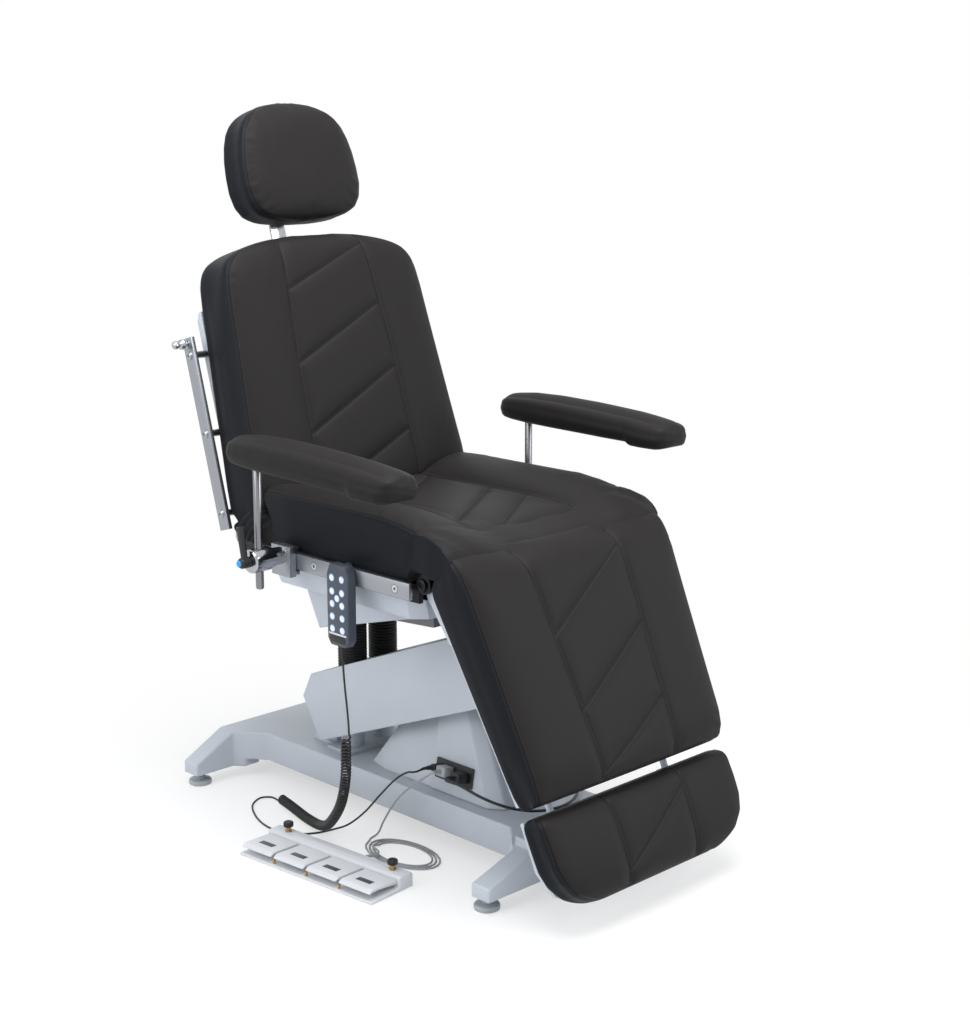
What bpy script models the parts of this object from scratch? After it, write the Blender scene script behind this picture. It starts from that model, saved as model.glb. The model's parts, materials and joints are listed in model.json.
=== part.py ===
"""Powered procedure table: lifting base, reclining back, leg and foot sections, armrests and controls."""
import math

import bmesh
import bpy
from mathutils import Matrix
from mathutils import Vector

# Driving dimensions, in metres and degrees. The sitter faces -Y, the floor is z = 0.
GAP = 0.0003
# Base
BASE_HALF = 0.316
BASE_FRONT = -0.437
BASE_REAR = 0.670
BASE_TOP = 0.125
BASE_SHELL = 0.006
BASE_LEG_DEPTH = 0.056
BASE_LEG_BOTTOM = 0.030
BASE_LEG_TIP = 0.063
BEAM_BOTTOM = 0.050
BEAM_HALF = 0.144
FOOT_INSET = 0.031
FOOT_R = 0.029
# Tower
TOWER_FRONT = -0.261
TOWER_HALF = 0.112
TOWER_TOP_HALF = 0.070
TOWER_HEIGHT = 0.225
SOCKET_RISE = 0.057
# Lifting columns
COLUMN_Y = 0.311
COLUMN_X = 0.050
COLUMN_R = 0.027
COLUMN_WALL = 0.0038
COLUMN_TOP = 0.420
BELLOWS_LOW = 0.300
BELLOWS_HIGH = 0.4847
BELLOWS_RIBS = 24
BELLOWS_DEPTH = 0.0050
# Lifting arm
ARM_RISE = 0.110
ARM_ANGLE = 21.5
ARM_LENGTH = 0.630
ARM_BAR = 0.012
COVER_HALF = 0.120
COVER_WALL = 0.0035
COVER_RISE = 0.082
ROLLER_R = 0.0215
ROLLER_CLEAR = 0.0031
# Seat
HINGE_Z = 0.700
KNEE_Y = -0.245
SEAT_LENGTH = 0.635
TILT_R = 0.010
SHAFT_R = 0.008
BEARING_CLEAR = 0.0005
EYE_R = 0.022
KNEE_ROLL_R = 0.0755
BACK_ROLL_R = 0.090
FRAME_HALF = 0.322
BAR_WIDTH = 0.012
BAR_HEIGHT = 0.042
RAIL_STANDOFF = 0.023
RAIL_WIDTH = 0.010
RAIL_HEIGHT = 0.037
CUSHION_TO_RAIL = 0.007
SEAT_THICK = 0.1407
SEAT_DISH = 0.038
# Back, leg, foot and head sections, measured from their hinge axes
BACK_ANGLE = 74.0
BACK_LENGTH = 0.692
BACK_FRONT = 0.126
BACK_REAR = -0.004
BACK_TAPER = 0.030
PANEL_THICK = 0.0115
LEG_ANGLE = 65.0
LEG_LENGTH = 0.515
LEG_FRONT = 0.143
LEG_TAPER = 0.026
ROD_X = 0.190
ROD_R = 0.008
FOOT_GAP = 0.020
FOOT_LENGTH = 0.208
FOOT_FRONT = 0.130
HEAD_RISE = 0.178
HEAD_SET_BACK = 0.020
HEAD_SEAT = 0.038
HEAD_BAR_HALF = 0.0225
HEAD_BAR_THICK = 0.006
HEAD_PIN_R = 0.0058
HEAD_HALF = 0.176
HEAD_LENGTH = 0.284
HEAD_THICK = 0.094
# Armrests
POST_REACH = 0.079
POST_SET_BACK = 0.215
POST_R = 0.0094
POST_LENGTH = 0.281
PAD_RISE = 0.213
PAD_THICK = 0.073
PAD_HALF = 0.051
PAD_REAR = 0.079
PAD_FRONT = 0.485
# Handset and footswitch
HANDSET_Y = -0.030
HANDSET_HALF = 0.035
HANDSET_LENGTH = 0.185
HANDSET_THICK = 0.0257
CORD_CURLS = 18
SWITCH_X = -0.4065
SWITCH_Y = 0.001
SWITCH_TURN = 5.0
SWITCH_LENGTH = 0.423
SWITCH_DEPTH = 0.134
PEDALS = 4

# Places that follow from the dimensions
BACK_AXIS = (KNEE_Y + SEAT_LENGTH, HINGE_Z)
KNEE_AXIS = (KNEE_Y, HINGE_Z)
TILT_AXIS = (KNEE_Y + 0.220, HINGE_Z - 0.035)
ARM_AXIS = (COLUMN_Y + 0.054, BASE_TOP + ARM_RISE)
ROLLER_Y = ARM_AXIS[0] - ARM_LENGTH * math.cos(math.radians(ARM_ANGLE))
ROLLER_Z = ARM_AXIS[1] + ARM_LENGTH * math.sin(math.radians(ARM_ANGLE))
COLUMN_BORE = COLUMN_R - COLUMN_WALL
INNER_R = COLUMN_BORE - 0.0007
BELLOWS_BORE = COLUMN_R + 0.0028
BELLOWS_GROOVE = BELLOWS_BORE + 0.0018
BELLOWS_R = BELLOWS_GROOVE + BELLOWS_DEPTH
CARRIAGE = BELLOWS_HIGH + GAP
COVER_IN = COVER_HALF - COVER_WALL
ARM_BAR_OUT = COVER_IN - 0.0125
ARM_BAR_IN = ARM_BAR_OUT - ARM_BAR
BAR_OUT = FRAME_HALF
BAR_IN = FRAME_HALF - BAR_WIDTH
BAR_HIGH = HINGE_Z - 0.003
BAR_LOW = BAR_HIGH - BAR_HEIGHT
BORE_R = SHAFT_R + BEARING_CLEAR
PLATE_OUT = BAR_IN - 0.004
PLATE_IN = PLATE_OUT - 0.010
ROLL_HALF = PLATE_IN - 0.008
RAIL_IN = BAR_OUT + RAIL_STANDOFF
RAIL_OUT = RAIL_IN + RAIL_WIDTH
RAIL_LOW = HINGE_Z - 0.031
RAIL_HIGH = RAIL_LOW + RAIL_HEIGHT
SEAT_HALF = RAIL_IN - CUSHION_TO_RAIL
SEAT_TOP = BAR_HIGH + GAP + SEAT_THICK
LEG_END_HALF = SEAT_HALF - LEG_TAPER
LEG_PANEL_START = 0.028
LEG_PANEL_END = LEG_LENGTH - 0.010
LEG_PANEL_REAR = 0.0137
LEG_PANEL_RISE = 0.031
LEG_PANEL_THICK = PANEL_THICK - 0.0005
ROD_N = 0.0265
POST_X = RAIL_OUT + POST_REACH
POST_Y = BACK_AXIS[0] - POST_SET_BACK
PAD_BOTTOM = HINGE_Z + PAD_RISE
HANDSET_TOP = RAIL_HIGH + 0.009
PEDAL_PITCH = (SWITCH_LENGTH - 0.007) / PEDALS

SECTION_POINTS = 20
FRAMES = {}


def clear_scene():
    for obj in list(bpy.data.objects):
        bpy.data.objects.remove(obj, do_unlink=True)


def paint(name, colour, roughness, metallic):
    material = bpy.data.materials.new(name)
    material.use_nodes = True
    shader = material.node_tree.nodes["Principled BSDF"]
    shader.inputs["Base Color"].default_value = (*colour, 1.0)
    shader.inputs["Roughness"].default_value = roughness
    shader.inputs["Metallic"].default_value = metallic
    return material


def frame(name, location, angle_x=0.0, angle_y=0.0, angle_z=0.0, parent=None):
    """Empty on a joint axis; the pieces that move about it are its children."""
    world = Matrix.Translation(Vector(location))
    world = world @ Matrix.Rotation(math.radians(angle_z), 4, "Z")
    world = world @ Matrix.Rotation(math.radians(angle_y), 4, "Y")
    world = world @ Matrix.Rotation(math.radians(angle_x), 4, "X")
    empty = bpy.data.objects.new(name, None)
    bpy.context.scene.collection.objects.link(empty)
    if parent is None:
        empty.matrix_basis = world
    else:
        empty.parent = parent
        empty.matrix_basis = FRAMES[parent.name].inverted() @ world
    FRAMES[name] = world
    return empty


def solid(name, bm, material, parent=None, world=True, smooth=35.0):
    """Turn a bmesh into a named object; world-coordinate work is moved into the parent's frame."""
    if parent is not None and world:
        bm.transform(FRAMES[parent.name].inverted())
    bmesh.ops.recalc_face_normals(bm, faces=bm.faces[:])
    limit = math.radians(smooth)
    for face in bm.faces:
        face.smooth = True
    for edge in bm.edges:
        edge.smooth = len(edge.link_faces) == 2 and edge.calc_face_angle(0.0) < limit
    mesh = bpy.data.meshes.new(name)
    bm.to_mesh(mesh)
    bm.free()
    obj = bpy.data.objects.new(name, mesh)
    bpy.context.scene.collection.objects.link(obj)
    if material is not None:
        obj.data.materials.append(material)
    if parent is not None:
        obj.parent = parent
    return obj


def combine(obj, bm, operation, name, world=True):
    """Boolean with a hidden tool object that stays in the source."""
    tool = solid(name, bm, None, obj.parent, world)
    tool.hide_render = True
    tool.display_type = "WIRE"
    modifier = obj.modifiers.new(name, "BOOLEAN")
    modifier.operation = operation
    modifier.solver = "EXACT"
    modifier.use_self = operation == "UNION"
    modifier.object = tool
    return obj


def bevel(obj, width, segments=2, angle=30.0):
    modifier = obj.modifiers.new("edges", "BEVEL")
    modifier.width = width
    modifier.segments = segments
    modifier.limit_method = "ANGLE"
    modifier.angle_limit = math.radians(angle)
    return obj


def box(bm, x0, x1, y0, y1, z0, z1):
    centre = Vector(((x0 + x1) / 2, (y0 + y1) / 2, (z0 + z1) / 2))
    size = Vector((abs(x1 - x0), abs(y1 - y0), abs(z1 - z0), 1.0))
    matrix = Matrix.Translation(centre) @ Matrix.Diagonal(size)
    bmesh.ops.create_cube(bm, size=1.0, matrix=matrix)


def place(axis, a, b, c):
    """Point with c measured along the axis and (a, b) across it in (x, y), (x, z) or (y, z) order."""
    if axis == "X":
        return (c, a, b)
    if axis == "Y":
        return (a, c, b)
    return (a, b, c)


def prism(bm, outline, axis, low, high):
    face = bm.faces.new([bm.verts.new(place(axis, a, b, low)) for a, b in outline])
    grown = bmesh.ops.extrude_face_region(bm, geom=[face])
    verts = [item for item in grown["geom"] if isinstance(item, bmesh.types.BMVert)]
    bmesh.ops.translate(bm, vec=Vector(place(axis, 0.0, 0.0, high - low)), verts=verts)


def loft(bm, loops):
    """Closed solid through loops of equal length."""
    rings = [[bm.verts.new(point) for point in loop] for loop in loops]
    count = len(rings[0])
    for low, high in zip(rings, rings[1:]):
        for i in range(count):
            j = (i + 1) % count
            bm.faces.new((low[i], low[j], high[j], high[i]))
    bm.faces.new(rings[0])
    bm.faces.new(rings[-1])


def lathe(bm, profile, axis, centre, steps, closed=False):
    """Turn (radius, distance) points about an axis through a centre given in the two other coordinates."""
    rings = []
    for radius, along in profile:
        ring = []
        for i in range(steps):
            turn = 2.0 * math.pi * (i + 0.5) / steps
            a = centre[0] + radius * math.cos(turn)
            b = centre[1] + radius * math.sin(turn)
            ring.append(bm.verts.new(place(axis, a, b, along)))
        rings.append(ring)
    pairs = list(zip(rings, rings[1:]))
    if closed:
        pairs.append((rings[-1], rings[0]))
    for low, high in pairs:
        for i in range(steps):
            j = (i + 1) % steps
            bm.faces.new((low[i], low[j], high[j], high[i]))
    if not closed:
        bm.faces.new(rings[0])
        bm.faces.new(rings[-1])


def rod(bm, axis, centre, low, high, radius, steps=20):
    lathe(bm, [(radius, low), (radius, high)], axis, centre, steps)


def bar(bm, start, end, radius, steps=12, end_radius=None):
    """Round bar between two points, tapered when an end radius is given."""
    start = Vector(start)
    end = Vector(end)
    last = radius if end_radius is None else end_radius
    turn = (end - start).to_track_quat("Z", "Y").to_matrix().to_4x4()
    matrix = Matrix.Translation((start + end) / 2) @ turn
    bmesh.ops.create_cone(bm, cap_ends=True, segments=steps, radius1=radius, radius2=last,
                          depth=(end - start).length, matrix=matrix)


def arc(cy, cz, radius, first, last, count):
    points = []
    for i in range(count + 1):
        turn = math.radians(first + (last - first) * i / count)
        points.append((cy + radius * math.cos(turn), cz + radius * math.sin(turn)))
    return points


def cord(name, points, radius, material, parent=None, resolution=2, cyclic=False):
    """Round cord along a list of points."""
    if parent is not None:
        inverse = FRAMES[parent.name].inverted()
        points = [inverse @ Vector(point) for point in points]
    curve = bpy.data.curves.new(name, "CURVE")
    curve.dimensions = "3D"
    curve.bevel_depth = radius
    curve.bevel_resolution = resolution
    curve.use_fill_caps = True
    spline = curve.splines.new("POLY")
    spline.points.add(len(points) - 1)
    for slot, point in zip(spline.points, points):
        slot.co = (*point, 1.0)
    obj = bpy.data.objects.new(name, curve)
    bpy.context.scene.collection.objects.link(obj)
    obj.data.materials.append(material)
    if parent is not None:
        obj.parent = parent
    return obj


def smooth_path(points, step):
    """Evenly spaced points on a smooth curve through the given points."""
    points = [Vector(point) for point in points]
    fine = []
    for i in range(len(points) - 1):
        a = points[max(i - 1, 0)]
        b = points[i]
        c = points[i + 1]
        d = points[min(i + 2, len(points) - 1)]
        for k in range(24):
            t = k / 24.0
            fine.append(0.5 * (2.0 * b + (c - a) * t + (2.0 * a - 5.0 * b + 4.0 * c - d) * t * t
                               + (3.0 * b - a - 3.0 * c + d) * t * t * t))
    fine.append(points[-1])
    total = sum((q - p).length for p, q in zip(fine, fine[1:]))
    count = max(2, round(total / step))
    result = [fine[0]]
    run = 0.0
    for p, q in zip(fine, fine[1:]):
        size = (q - p).length
        while len(result) < count and run + size >= total * len(result) / count:
            share = (total * len(result) / count - run) / size
            result.append(p.lerp(q, share))
        run += size
    result.append(fine[-1])
    return result


def least_gap(points, radius, reach):
    """Least clear distance between stretches of one cord that lie apart along it."""
    best = 1.0
    for i, p in enumerate(points):
        for j in range(i + 1, len(points) - 1):
            a = points[j]
            b = points[j + 1]
            if abs(j - i) * (b - a).length < reach:
                continue
            edge = b - a
            share = max(0.0, min(1.0, (p - a).dot(edge) / edge.length_squared))
            best = min(best, (p - a - edge * share).length - 2.0 * radius)
    return best


def curled(path, turns, per_turn, coil_radius):
    """Curly cord: a helix about a path, with a straight lead at each end."""
    total = sum((q - p).length for p, q in zip(path, path[1:]))
    spots = [0.0]
    for p, q in zip(path, path[1:]):
        spots.append(spots[-1] + (q - p).length)
    side = Vector((1.0, 0.0, 0.0))
    result = [path[0], path[0].lerp(path[1], 0.2)]
    count = turns * per_turn
    lead = 0.012
    for i in range(count + 1):
        along = lead + (total - 2.0 * lead) * i / count
        k = 0
        while k < len(path) - 2 and spots[k + 1] < along:
            k += 1
        edge = path[k + 1] - path[k]
        centre = path[k] + edge * ((along - spots[k]) / edge.length)
        ahead = edge.normalized()
        if k + 2 < len(path):
            ahead = edge.normalized().lerp((path[k + 2] - path[k + 1]).normalized(), 0.5).normalized()
        side = (side - ahead * side.dot(ahead)).normalized()
        other = ahead.cross(side)
        turn = 2.0 * math.pi * i / per_turn
        result.append(centre + (side * math.cos(turn) + other * math.sin(turn)) * coil_radius)
    result.append(path[-1].lerp(path[-2], 0.2))
    result.append(path[-1])
    return result


def cushion(bm, stations, seam, shear=0.0, waist=0.004, groove=0.005):
    """Upholstered pad lofted along local Y.

    A station is (y, half width, bottom, edge top, crown, channel): the crown lifts the middle,
    a channel station is pressed in between the two long seams.
    """
    loops = []
    first = stations[0][0]
    last = stations[-1][0]
    for y, half, low, top, crown, channel in stations:
        tall = top - low
        reach = seam * half / 0.32
        right = [(half - 0.010, low), (half, low + 0.22 * tall), (half - waist, low + 0.5 * tall),
                 (half, low + 0.86 * tall), (half - 0.012, top), (0.5 * (half + reach), top + 0.15 * crown),
                 (reach + 0.022, top + 0.3 * crown), (reach, top + 0.3 * crown - groove),
                 (reach - 0.022, top + 0.5 * crown - groove * channel),
                 (0.4 * reach, top + crown - groove * channel)]
        loop = right + [(-x, z) for x, z in reversed(right)]
        near_end = min(abs(y - first), abs(y - last)) / 0.10
        weight = max(0.0, min(1.0, near_end))
        points = []
        for x, z in loop:
            share = max(-1.0, min(1.0, x / reach))
            fade = max(0.0, min(1.0, (half - abs(x)) / max(half - reach, 0.01)))
            on_top = 1.0 if z > top - 0.02 else 0.0
            points.append(Vector((x, y + shear * share * fade * weight * on_top, z)))
        loops.append(points)
    loft(bm, loops)


def base_cover(material):
    rear_leg = BASE_REAR - BASE_LEG_DEPTH
    front_leg = BASE_FRONT + BASE_LEG_DEPTH
    half = [(BASE_HALF, BASE_REAR), (BASE_HALF, rear_leg), (BEAM_HALF + 0.056, rear_leg),
            (BEAM_HALF, rear_leg - 0.070), (BEAM_HALF, front_leg + 0.053), (BEAM_HALF + 0.046, front_leg),
            (BASE_HALF, front_leg), (BASE_HALF, BASE_FRONT)]
    outline = half + [(-x, y) for x, y in reversed(half)]
    bm = bmesh.new()
    prism(bm, outline, "Z", BASE_LEG_BOTTOM, BASE_TOP)
    obj = solid("base_cover", bm, material)
    bm = bmesh.new()
    past = 0.024
    rear_x = BEAM_HALF + 0.056
    front_x = BEAM_HALF + 0.028
    step = BASE_TOP - 0.018
    rear_end = BASE_LEG_TIP - past * (BASE_TOP - BASE_LEG_TIP) / (BASE_HALF - rear_x)
    front_end = BASE_LEG_TIP - past * (step - BASE_LEG_TIP) / (BASE_HALF - front_x)
    over = BASE_TOP + 0.035
    for side in (1.0, -1.0):
        rear = [(rear_x, BASE_TOP), (BASE_HALF + past, rear_end), (BASE_HALF + past, over), (rear_x, over)]
        front = [(front_x, over), (front_x, step), (BASE_HALF + past, front_end), (BASE_HALF + past, over)]
        prism(bm, [(side * x, z) for x, z in rear], "Y", rear_leg - 0.015, BASE_REAR + 0.020)
        prism(bm, [(side * x, z) for x, z in front], "Y", BASE_FRONT - 0.023, front_leg + 0.008)
    box(bm, -BASE_HALF - 0.1, BASE_HALF + 0.1, front_leg + 0.031, rear_leg - 0.024, 0.0, BEAM_BOTTOM)
    combine(obj, bm, "DIFFERENCE", "base_shape_cut")
    bevel(obj, 0.008, 1, 22.0)
    bm = bmesh.new()
    wall = BASE_SHELL + 0.002
    box(bm, -BEAM_HALF + wall, BEAM_HALF - wall, BASE_FRONT + wall, BASE_REAR - wall,
        0.0, BASE_TOP - BASE_SHELL)
    combine(obj, bm, "DIFFERENCE", "base_pocket_cut")
    bm = bmesh.new()
    reach = COLUMN_X + COLUMN_R + 0.015
    box(bm, -reach, reach, COLUMN_Y - 0.041, COLUMN_Y + 0.038, BASE_TOP - 0.025, BASE_TOP + 0.075)
    combine(obj, bm, "DIFFERENCE", "base_column_cut")


def levelling_foot(name, x, y, material):
    profile = [(FOOT_R - 0.002, 0.0), (FOOT_R, 0.003), (FOOT_R - 0.0005, 0.008), (FOOT_R - 0.008, 0.020),
               (0.008, 0.0215), (0.008, BASE_LEG_BOTTOM - GAP)]
    bm = bmesh.new()
    lathe(bm, profile, "Z", (x, y), 14)
    solid(name, bm, material)


def hood_loop(points, height):
    half = [Vector((x, TOWER_FRONT + y, height)) for x, y in points]
    return half + [Vector((-p.x, p.y, p.z)) for p in reversed(half)]


def tower_cover(material):
    low = BASE_TOP + GAP
    high = BASE_TOP + TOWER_HEIGHT
    wide = TOWER_HALF
    thin = TOWER_TOP_HALF
    front_low = [(wide - 0.027, 0.0), (wide, 0.036), (wide, 0.231)]
    front_high = [(thin - 0.025, 0.126), (thin, 0.156), (thin, 0.231)]
    rear_low = [(wide - 0.008, 0.221), (wide - 0.008, 0.393), (wide - 0.027, 0.461)]
    rear_high = [(thin - 0.004, 0.221), (thin - 0.004, 0.321), (thin - 0.020, 0.349)]
    bm = bmesh.new()
    loft(bm, [hood_loop(front_low, low), hood_loop(front_high, high)])
    obj = solid("tower_cover", bm, material)
    bevel(obj, 0.006, 2, 20.0)
    bm = bmesh.new()
    loft(bm, [hood_loop(rear_low, low), hood_loop(rear_high, high - 0.060)])
    combine(obj, bm, "UNION", "tower_rear_hood")


def socket_frame():
    """Frame on the tower's slanted side, its -X axis pointing out of the wall."""
    lean = (TOWER_HALF - TOWER_TOP_HALF) / (TOWER_HEIGHT - GAP)
    half = TOWER_HALF - lean * (SOCKET_RISE - GAP)
    place_at = (-half, TOWER_FRONT + 0.151, BASE_TOP + SOCKET_RISE)
    return frame("socket_face", place_at, angle_y=math.degrees(math.atan(lean)))


def socket_panel(black, grey, face):
    front = -0.0043
    seat = front - GAP
    bm = bmesh.new()
    box(bm, front, -GAP, -0.062, 0.062, -0.024, 0.024)
    bevel(solid("socket_panel", bm, black, face, False), 0.0015, 1)
    bm = bmesh.new()
    profile = [(0.0055, -0.048), (0.0055, -0.034), (0.0085, -0.033), (0.0085, seat)]
    lathe(bm, profile, "X", (0.044, 0.004), 14)
    solid("handset_plug", bm, black, face, False)
    bm = bmesh.new()
    box(bm, -0.036, seat, 0.0, 0.030, -0.010, 0.014)
    obj = solid("footswitch_plug", bm, grey, face, False)
    bevel(obj, 0.003, 2)
    bm = bmesh.new()
    rod(bm, "X", (0.015, 0.002), -0.046, -0.030, 0.0055, 14)
    combine(obj, bm, "UNION", "footswitch_plug_boot", False)
    bm = bmesh.new()
    outline = [(-0.053, -0.012), (-0.021, -0.012), (-0.021, 0.006), (-0.026, 0.012), (-0.048, 0.012),
               (-0.053, 0.006)]
    prism(bm, outline, "X", -0.040, seat)
    obj = solid("mains_connector", bm, black, face, False)
    bevel(obj, 0.002, 2)
    bm = bmesh.new()
    rod(bm, "X", (-0.037, 0.0), -0.054, -0.035, 0.006, 14)
    combine(obj, bm, "UNION", "mains_connector_boot", False)


def arm_pivot_stand(material):
    low = BASE_TOP + GAP
    y, z = ARM_AXIS
    front = y - 0.013
    cheek = ARM_BAR_IN - 0.034
    bm = bmesh.new()
    box(bm, -cheek - 0.027, cheek + 0.027, front, y + 0.065, low, low + 0.008)
    obj = solid("arm_pivot_stand", bm, material)
    outline = [(front, low + 0.004), (y + 0.060, low + 0.004), (y + 0.018, z + 0.012),
               (y + 0.008, z + 0.020), (y - 0.008, z + 0.020), (front, z + 0.010)]
    bm = bmesh.new()
    prism(bm, outline, "X", cheek, cheek + 0.014)
    prism(bm, outline, "X", -cheek - 0.014, -cheek)
    combine(obj, bm, "UNION", "stand_cheeks")
    bm = bmesh.new()
    rod(bm, "X", (y, z), -COVER_IN + 0.0035, COVER_IN - 0.0035, 0.012, 16)
    combine(obj, bm, "UNION", "stand_shaft")


def outer_columns(material):
    low = BASE_TOP + GAP
    half = COLUMN_X + COLUMN_R + 0.027
    bm = bmesh.new()
    box(bm, -half, half, COLUMN_Y - 0.047, COLUMN_Y + 0.039, low, low + 0.008)
    obj = solid("outer_columns", bm, material)
    bm = bmesh.new()
    for side in (-1.0, 1.0):
        rod(bm, "Z", (side * COLUMN_X, COLUMN_Y), low - 0.025, low + 0.035, COLUMN_R - 0.0018, 14)
    combine(obj, bm, "DIFFERENCE", "column_plate_cut")
    foot = BEAM_BOTTOM + 0.012
    collar = BELLOWS_R - 0.0005
    profile = [(COLUMN_BORE, foot), (COLUMN_R, foot), (COLUMN_R, BELLOWS_LOW - 0.008),
               (collar, BELLOWS_LOW - 0.008), (collar, BELLOWS_LOW - GAP), (COLUMN_R, BELLOWS_LOW - GAP),
               (COLUMN_R, COLUMN_TOP), (COLUMN_BORE, COLUMN_TOP)]
    for name, side in (("column_tube_near", -1.0), ("column_tube_far", 1.0)):
        bm = bmesh.new()
        lathe(bm, profile, "Z", (side * COLUMN_X, COLUMN_Y), 14, True)
        combine(obj, bm, "UNION", name)


def carriage(material, parent):
    top = CARRIAGE
    y, z = TILT_AXIS
    rear = COLUMN_Y + 0.049
    beam = ARM_BAR_OUT + 0.001
    bm = bmesh.new()
    box(bm, -beam - 0.025, beam + 0.025, COLUMN_Y - 0.049, rear, top, top + 0.020)
    obj = solid("lift_carriage", bm, material, parent)
    bm = bmesh.new()
    profile = [(INNER_R - 0.0035, BASE_TOP), (INNER_R, BASE_TOP), (INNER_R, top + 0.006),
               (INNER_R - 0.0035, top + 0.006)]
    for side in (-1.0, 1.0):
        lathe(bm, profile, "Z", (side * COLUMN_X, COLUMN_Y), 14, True)
    combine(obj, bm, "UNION", "inner_columns")
    side_view = [(rear, top + 0.010), (rear, top + 0.028), (COLUMN_Y - 0.076, top + 0.030),
                 (y + 0.055, top + 0.060), (y + 0.024, z - 0.010), (y + 0.016, z + 0.022),
                 (y - 0.016, z + 0.022), (y - 0.024, z - 0.010), (y - 0.035, top + 0.060),
                 (y - 0.035, top + 0.040)]
    bm = bmesh.new()
    prism(bm, side_view, "X", beam - 0.015, beam + 0.015)
    prism(bm, side_view, "X", -beam - 0.015, -beam + 0.015)
    combine(obj, bm, "UNION", "carriage_beams")
    bm = bmesh.new()
    box(bm, -beam - 0.005, beam + 0.005, y - 0.030, y, top + 0.041, top + 0.058)
    combine(obj, bm, "UNION", "carriage_tie")
    track = ROLLER_Z + ROLLER_R + ROLLER_CLEAR
    front = ROLLER_Y - 0.054
    back = y - 0.005
    bm = bmesh.new()
    box(bm, -0.050, 0.050, front, back, track, track + 0.0095)
    combine(obj, bm, "UNION", "roller_track")
    bm = bmesh.new()
    web = [(front, track + 0.0035), (back, track + 0.0035), (back, top + 0.050), (y - 0.035, top + 0.050),
           (front, track + 0.0215)]
    prism(bm, web, "X", 0.040, 0.050)
    prism(bm, web, "X", -0.050, -0.040)
    combine(obj, bm, "UNION", "track_webs")
    bm = bmesh.new()
    rod(bm, "X", (y, z), -beam - 0.1, beam + 0.1, TILT_R + 0.0006, 16)
    combine(obj, bm, "DIFFERENCE", "tilt_bore")


def bellows(name, side, material, parent):
    pitch = (BELLOWS_HIGH - BELLOWS_LOW) / BELLOWS_RIBS
    profile = [(BELLOWS_BORE, BELLOWS_LOW), (BELLOWS_GROOVE, BELLOWS_LOW)]
    for i in range(BELLOWS_RIBS):
        profile.append((BELLOWS_R, BELLOWS_LOW + pitch * (i + 0.5)))
        profile.append((BELLOWS_GROOVE, BELLOWS_LOW + pitch * (i + 1.0)))
    profile.append((BELLOWS_BORE, BELLOWS_HIGH))
    bm = bmesh.new()
    lathe(bm, profile, "Z", (side * COLUMN_X, COLUMN_Y), 8, True)
    solid(name, bm, material, parent, True, 75.0)


def lift_arm(material, parent):
    bm = bmesh.new()
    outline = arc(0.0, 0.0, 0.030, -90.0, 90.0, 8) + arc(-ARM_LENGTH, 0.0, 0.024, 90.0, 270.0, 8)
    prism(bm, outline, "X", ARM_BAR_IN, ARM_BAR_OUT)
    obj = solid("lift_arm", bm, material, parent, False)
    bm = bmesh.new()
    prism(bm, outline, "X", -ARM_BAR_OUT, -ARM_BAR_IN)
    combine(obj, bm, "UNION", "lift_arm_far_bar", False)
    bm = bmesh.new()
    mid = ARM_BAR_IN + ARM_BAR / 2.0
    box(bm, -mid, mid, -ARM_LENGTH + 0.040, -ARM_LENGTH + 0.085, -0.018, 0.018)
    combine(obj, bm, "UNION", "lift_arm_tie", False)
    bm = bmesh.new()
    rod(bm, "X", (-ARM_LENGTH, 0.0), -mid - 0.002, mid + 0.002, SHAFT_R, 14)
    combine(obj, bm, "UNION", "roller_axle", False)
    bm = bmesh.new()
    for along in (-0.240, -ARM_LENGTH + 0.070):
        rod(bm, "X", (along, 0.0), mid + 0.002, COVER_IN - GAP, SHAFT_R, 12)
        rod(bm, "X", (along, 0.0), GAP - COVER_IN, -mid - 0.002, SHAFT_R, 12)
    combine(obj, bm, "UNION", "cover_standoffs", False)
    bm = bmesh.new()
    rod(bm, "X", (0.0, 0.0), -COVER_HALF - 0.1, COVER_HALF + 0.1, 0.0126, 16)
    combine(obj, bm, "DIFFERENCE", "lift_arm_bore", False)


def arm_cover(material, parent):
    end = ARM_LENGTH + 0.010
    slope = ARM_LENGTH - 0.080
    outline = [(-0.004, COVER_RISE), (0.050, COVER_RISE - 0.048), (0.027, -0.086), (-end, -0.088)]
    outline += arc(-end, -0.058, 0.030, 270.0, 180.0, 3)[1:]
    outline += arc(-end, 0.022, 0.030, 180.0, 90.0, 3)
    outline += [(-slope, COVER_RISE)]
    bm = bmesh.new()
    prism(bm, outline, "X", -COVER_HALF, COVER_HALF)
    obj = solid("arm_cover", bm, material, parent, False)
    front = end + 0.030 - COVER_WALL
    roof = COVER_RISE - COVER_WALL
    inside = [(0.1, -0.2), (-front, -0.2), (-front, 0.030), (-end, 0.052 - COVER_WALL),
              (-slope, roof), (0.1, roof)]
    bm = bmesh.new()
    prism(bm, inside, "X", -COVER_IN, COVER_IN)
    combine(obj, bm, "DIFFERENCE", "arm_cover_inside", False)
    bm = bmesh.new()
    box(bm, -COVER_IN, COVER_IN, -0.230, 0.1, -0.1, COVER_RISE + 0.1)
    combine(obj, bm, "DIFFERENCE", "arm_cover_column_gap", False)
    bm = bmesh.new()
    box(bm, -0.058, 0.058, -end - 0.1, -ARM_LENGTH + 0.230, 0.004, COVER_RISE + 0.1)
    combine(obj, bm, "DIFFERENCE", "arm_cover_track_slot", False)


def arm_roller(material, parent):
    bm = bmesh.new()
    bore = SHAFT_R + 0.0006
    profile = [(bore, -0.030), (ROLLER_R, -0.030), (ROLLER_R, 0.030), (bore, 0.030)]
    lathe(bm, profile, "X", (-ARM_LENGTH, 0.0), 18, True)
    solid("arm_roller", bm, material, parent, False)


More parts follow.
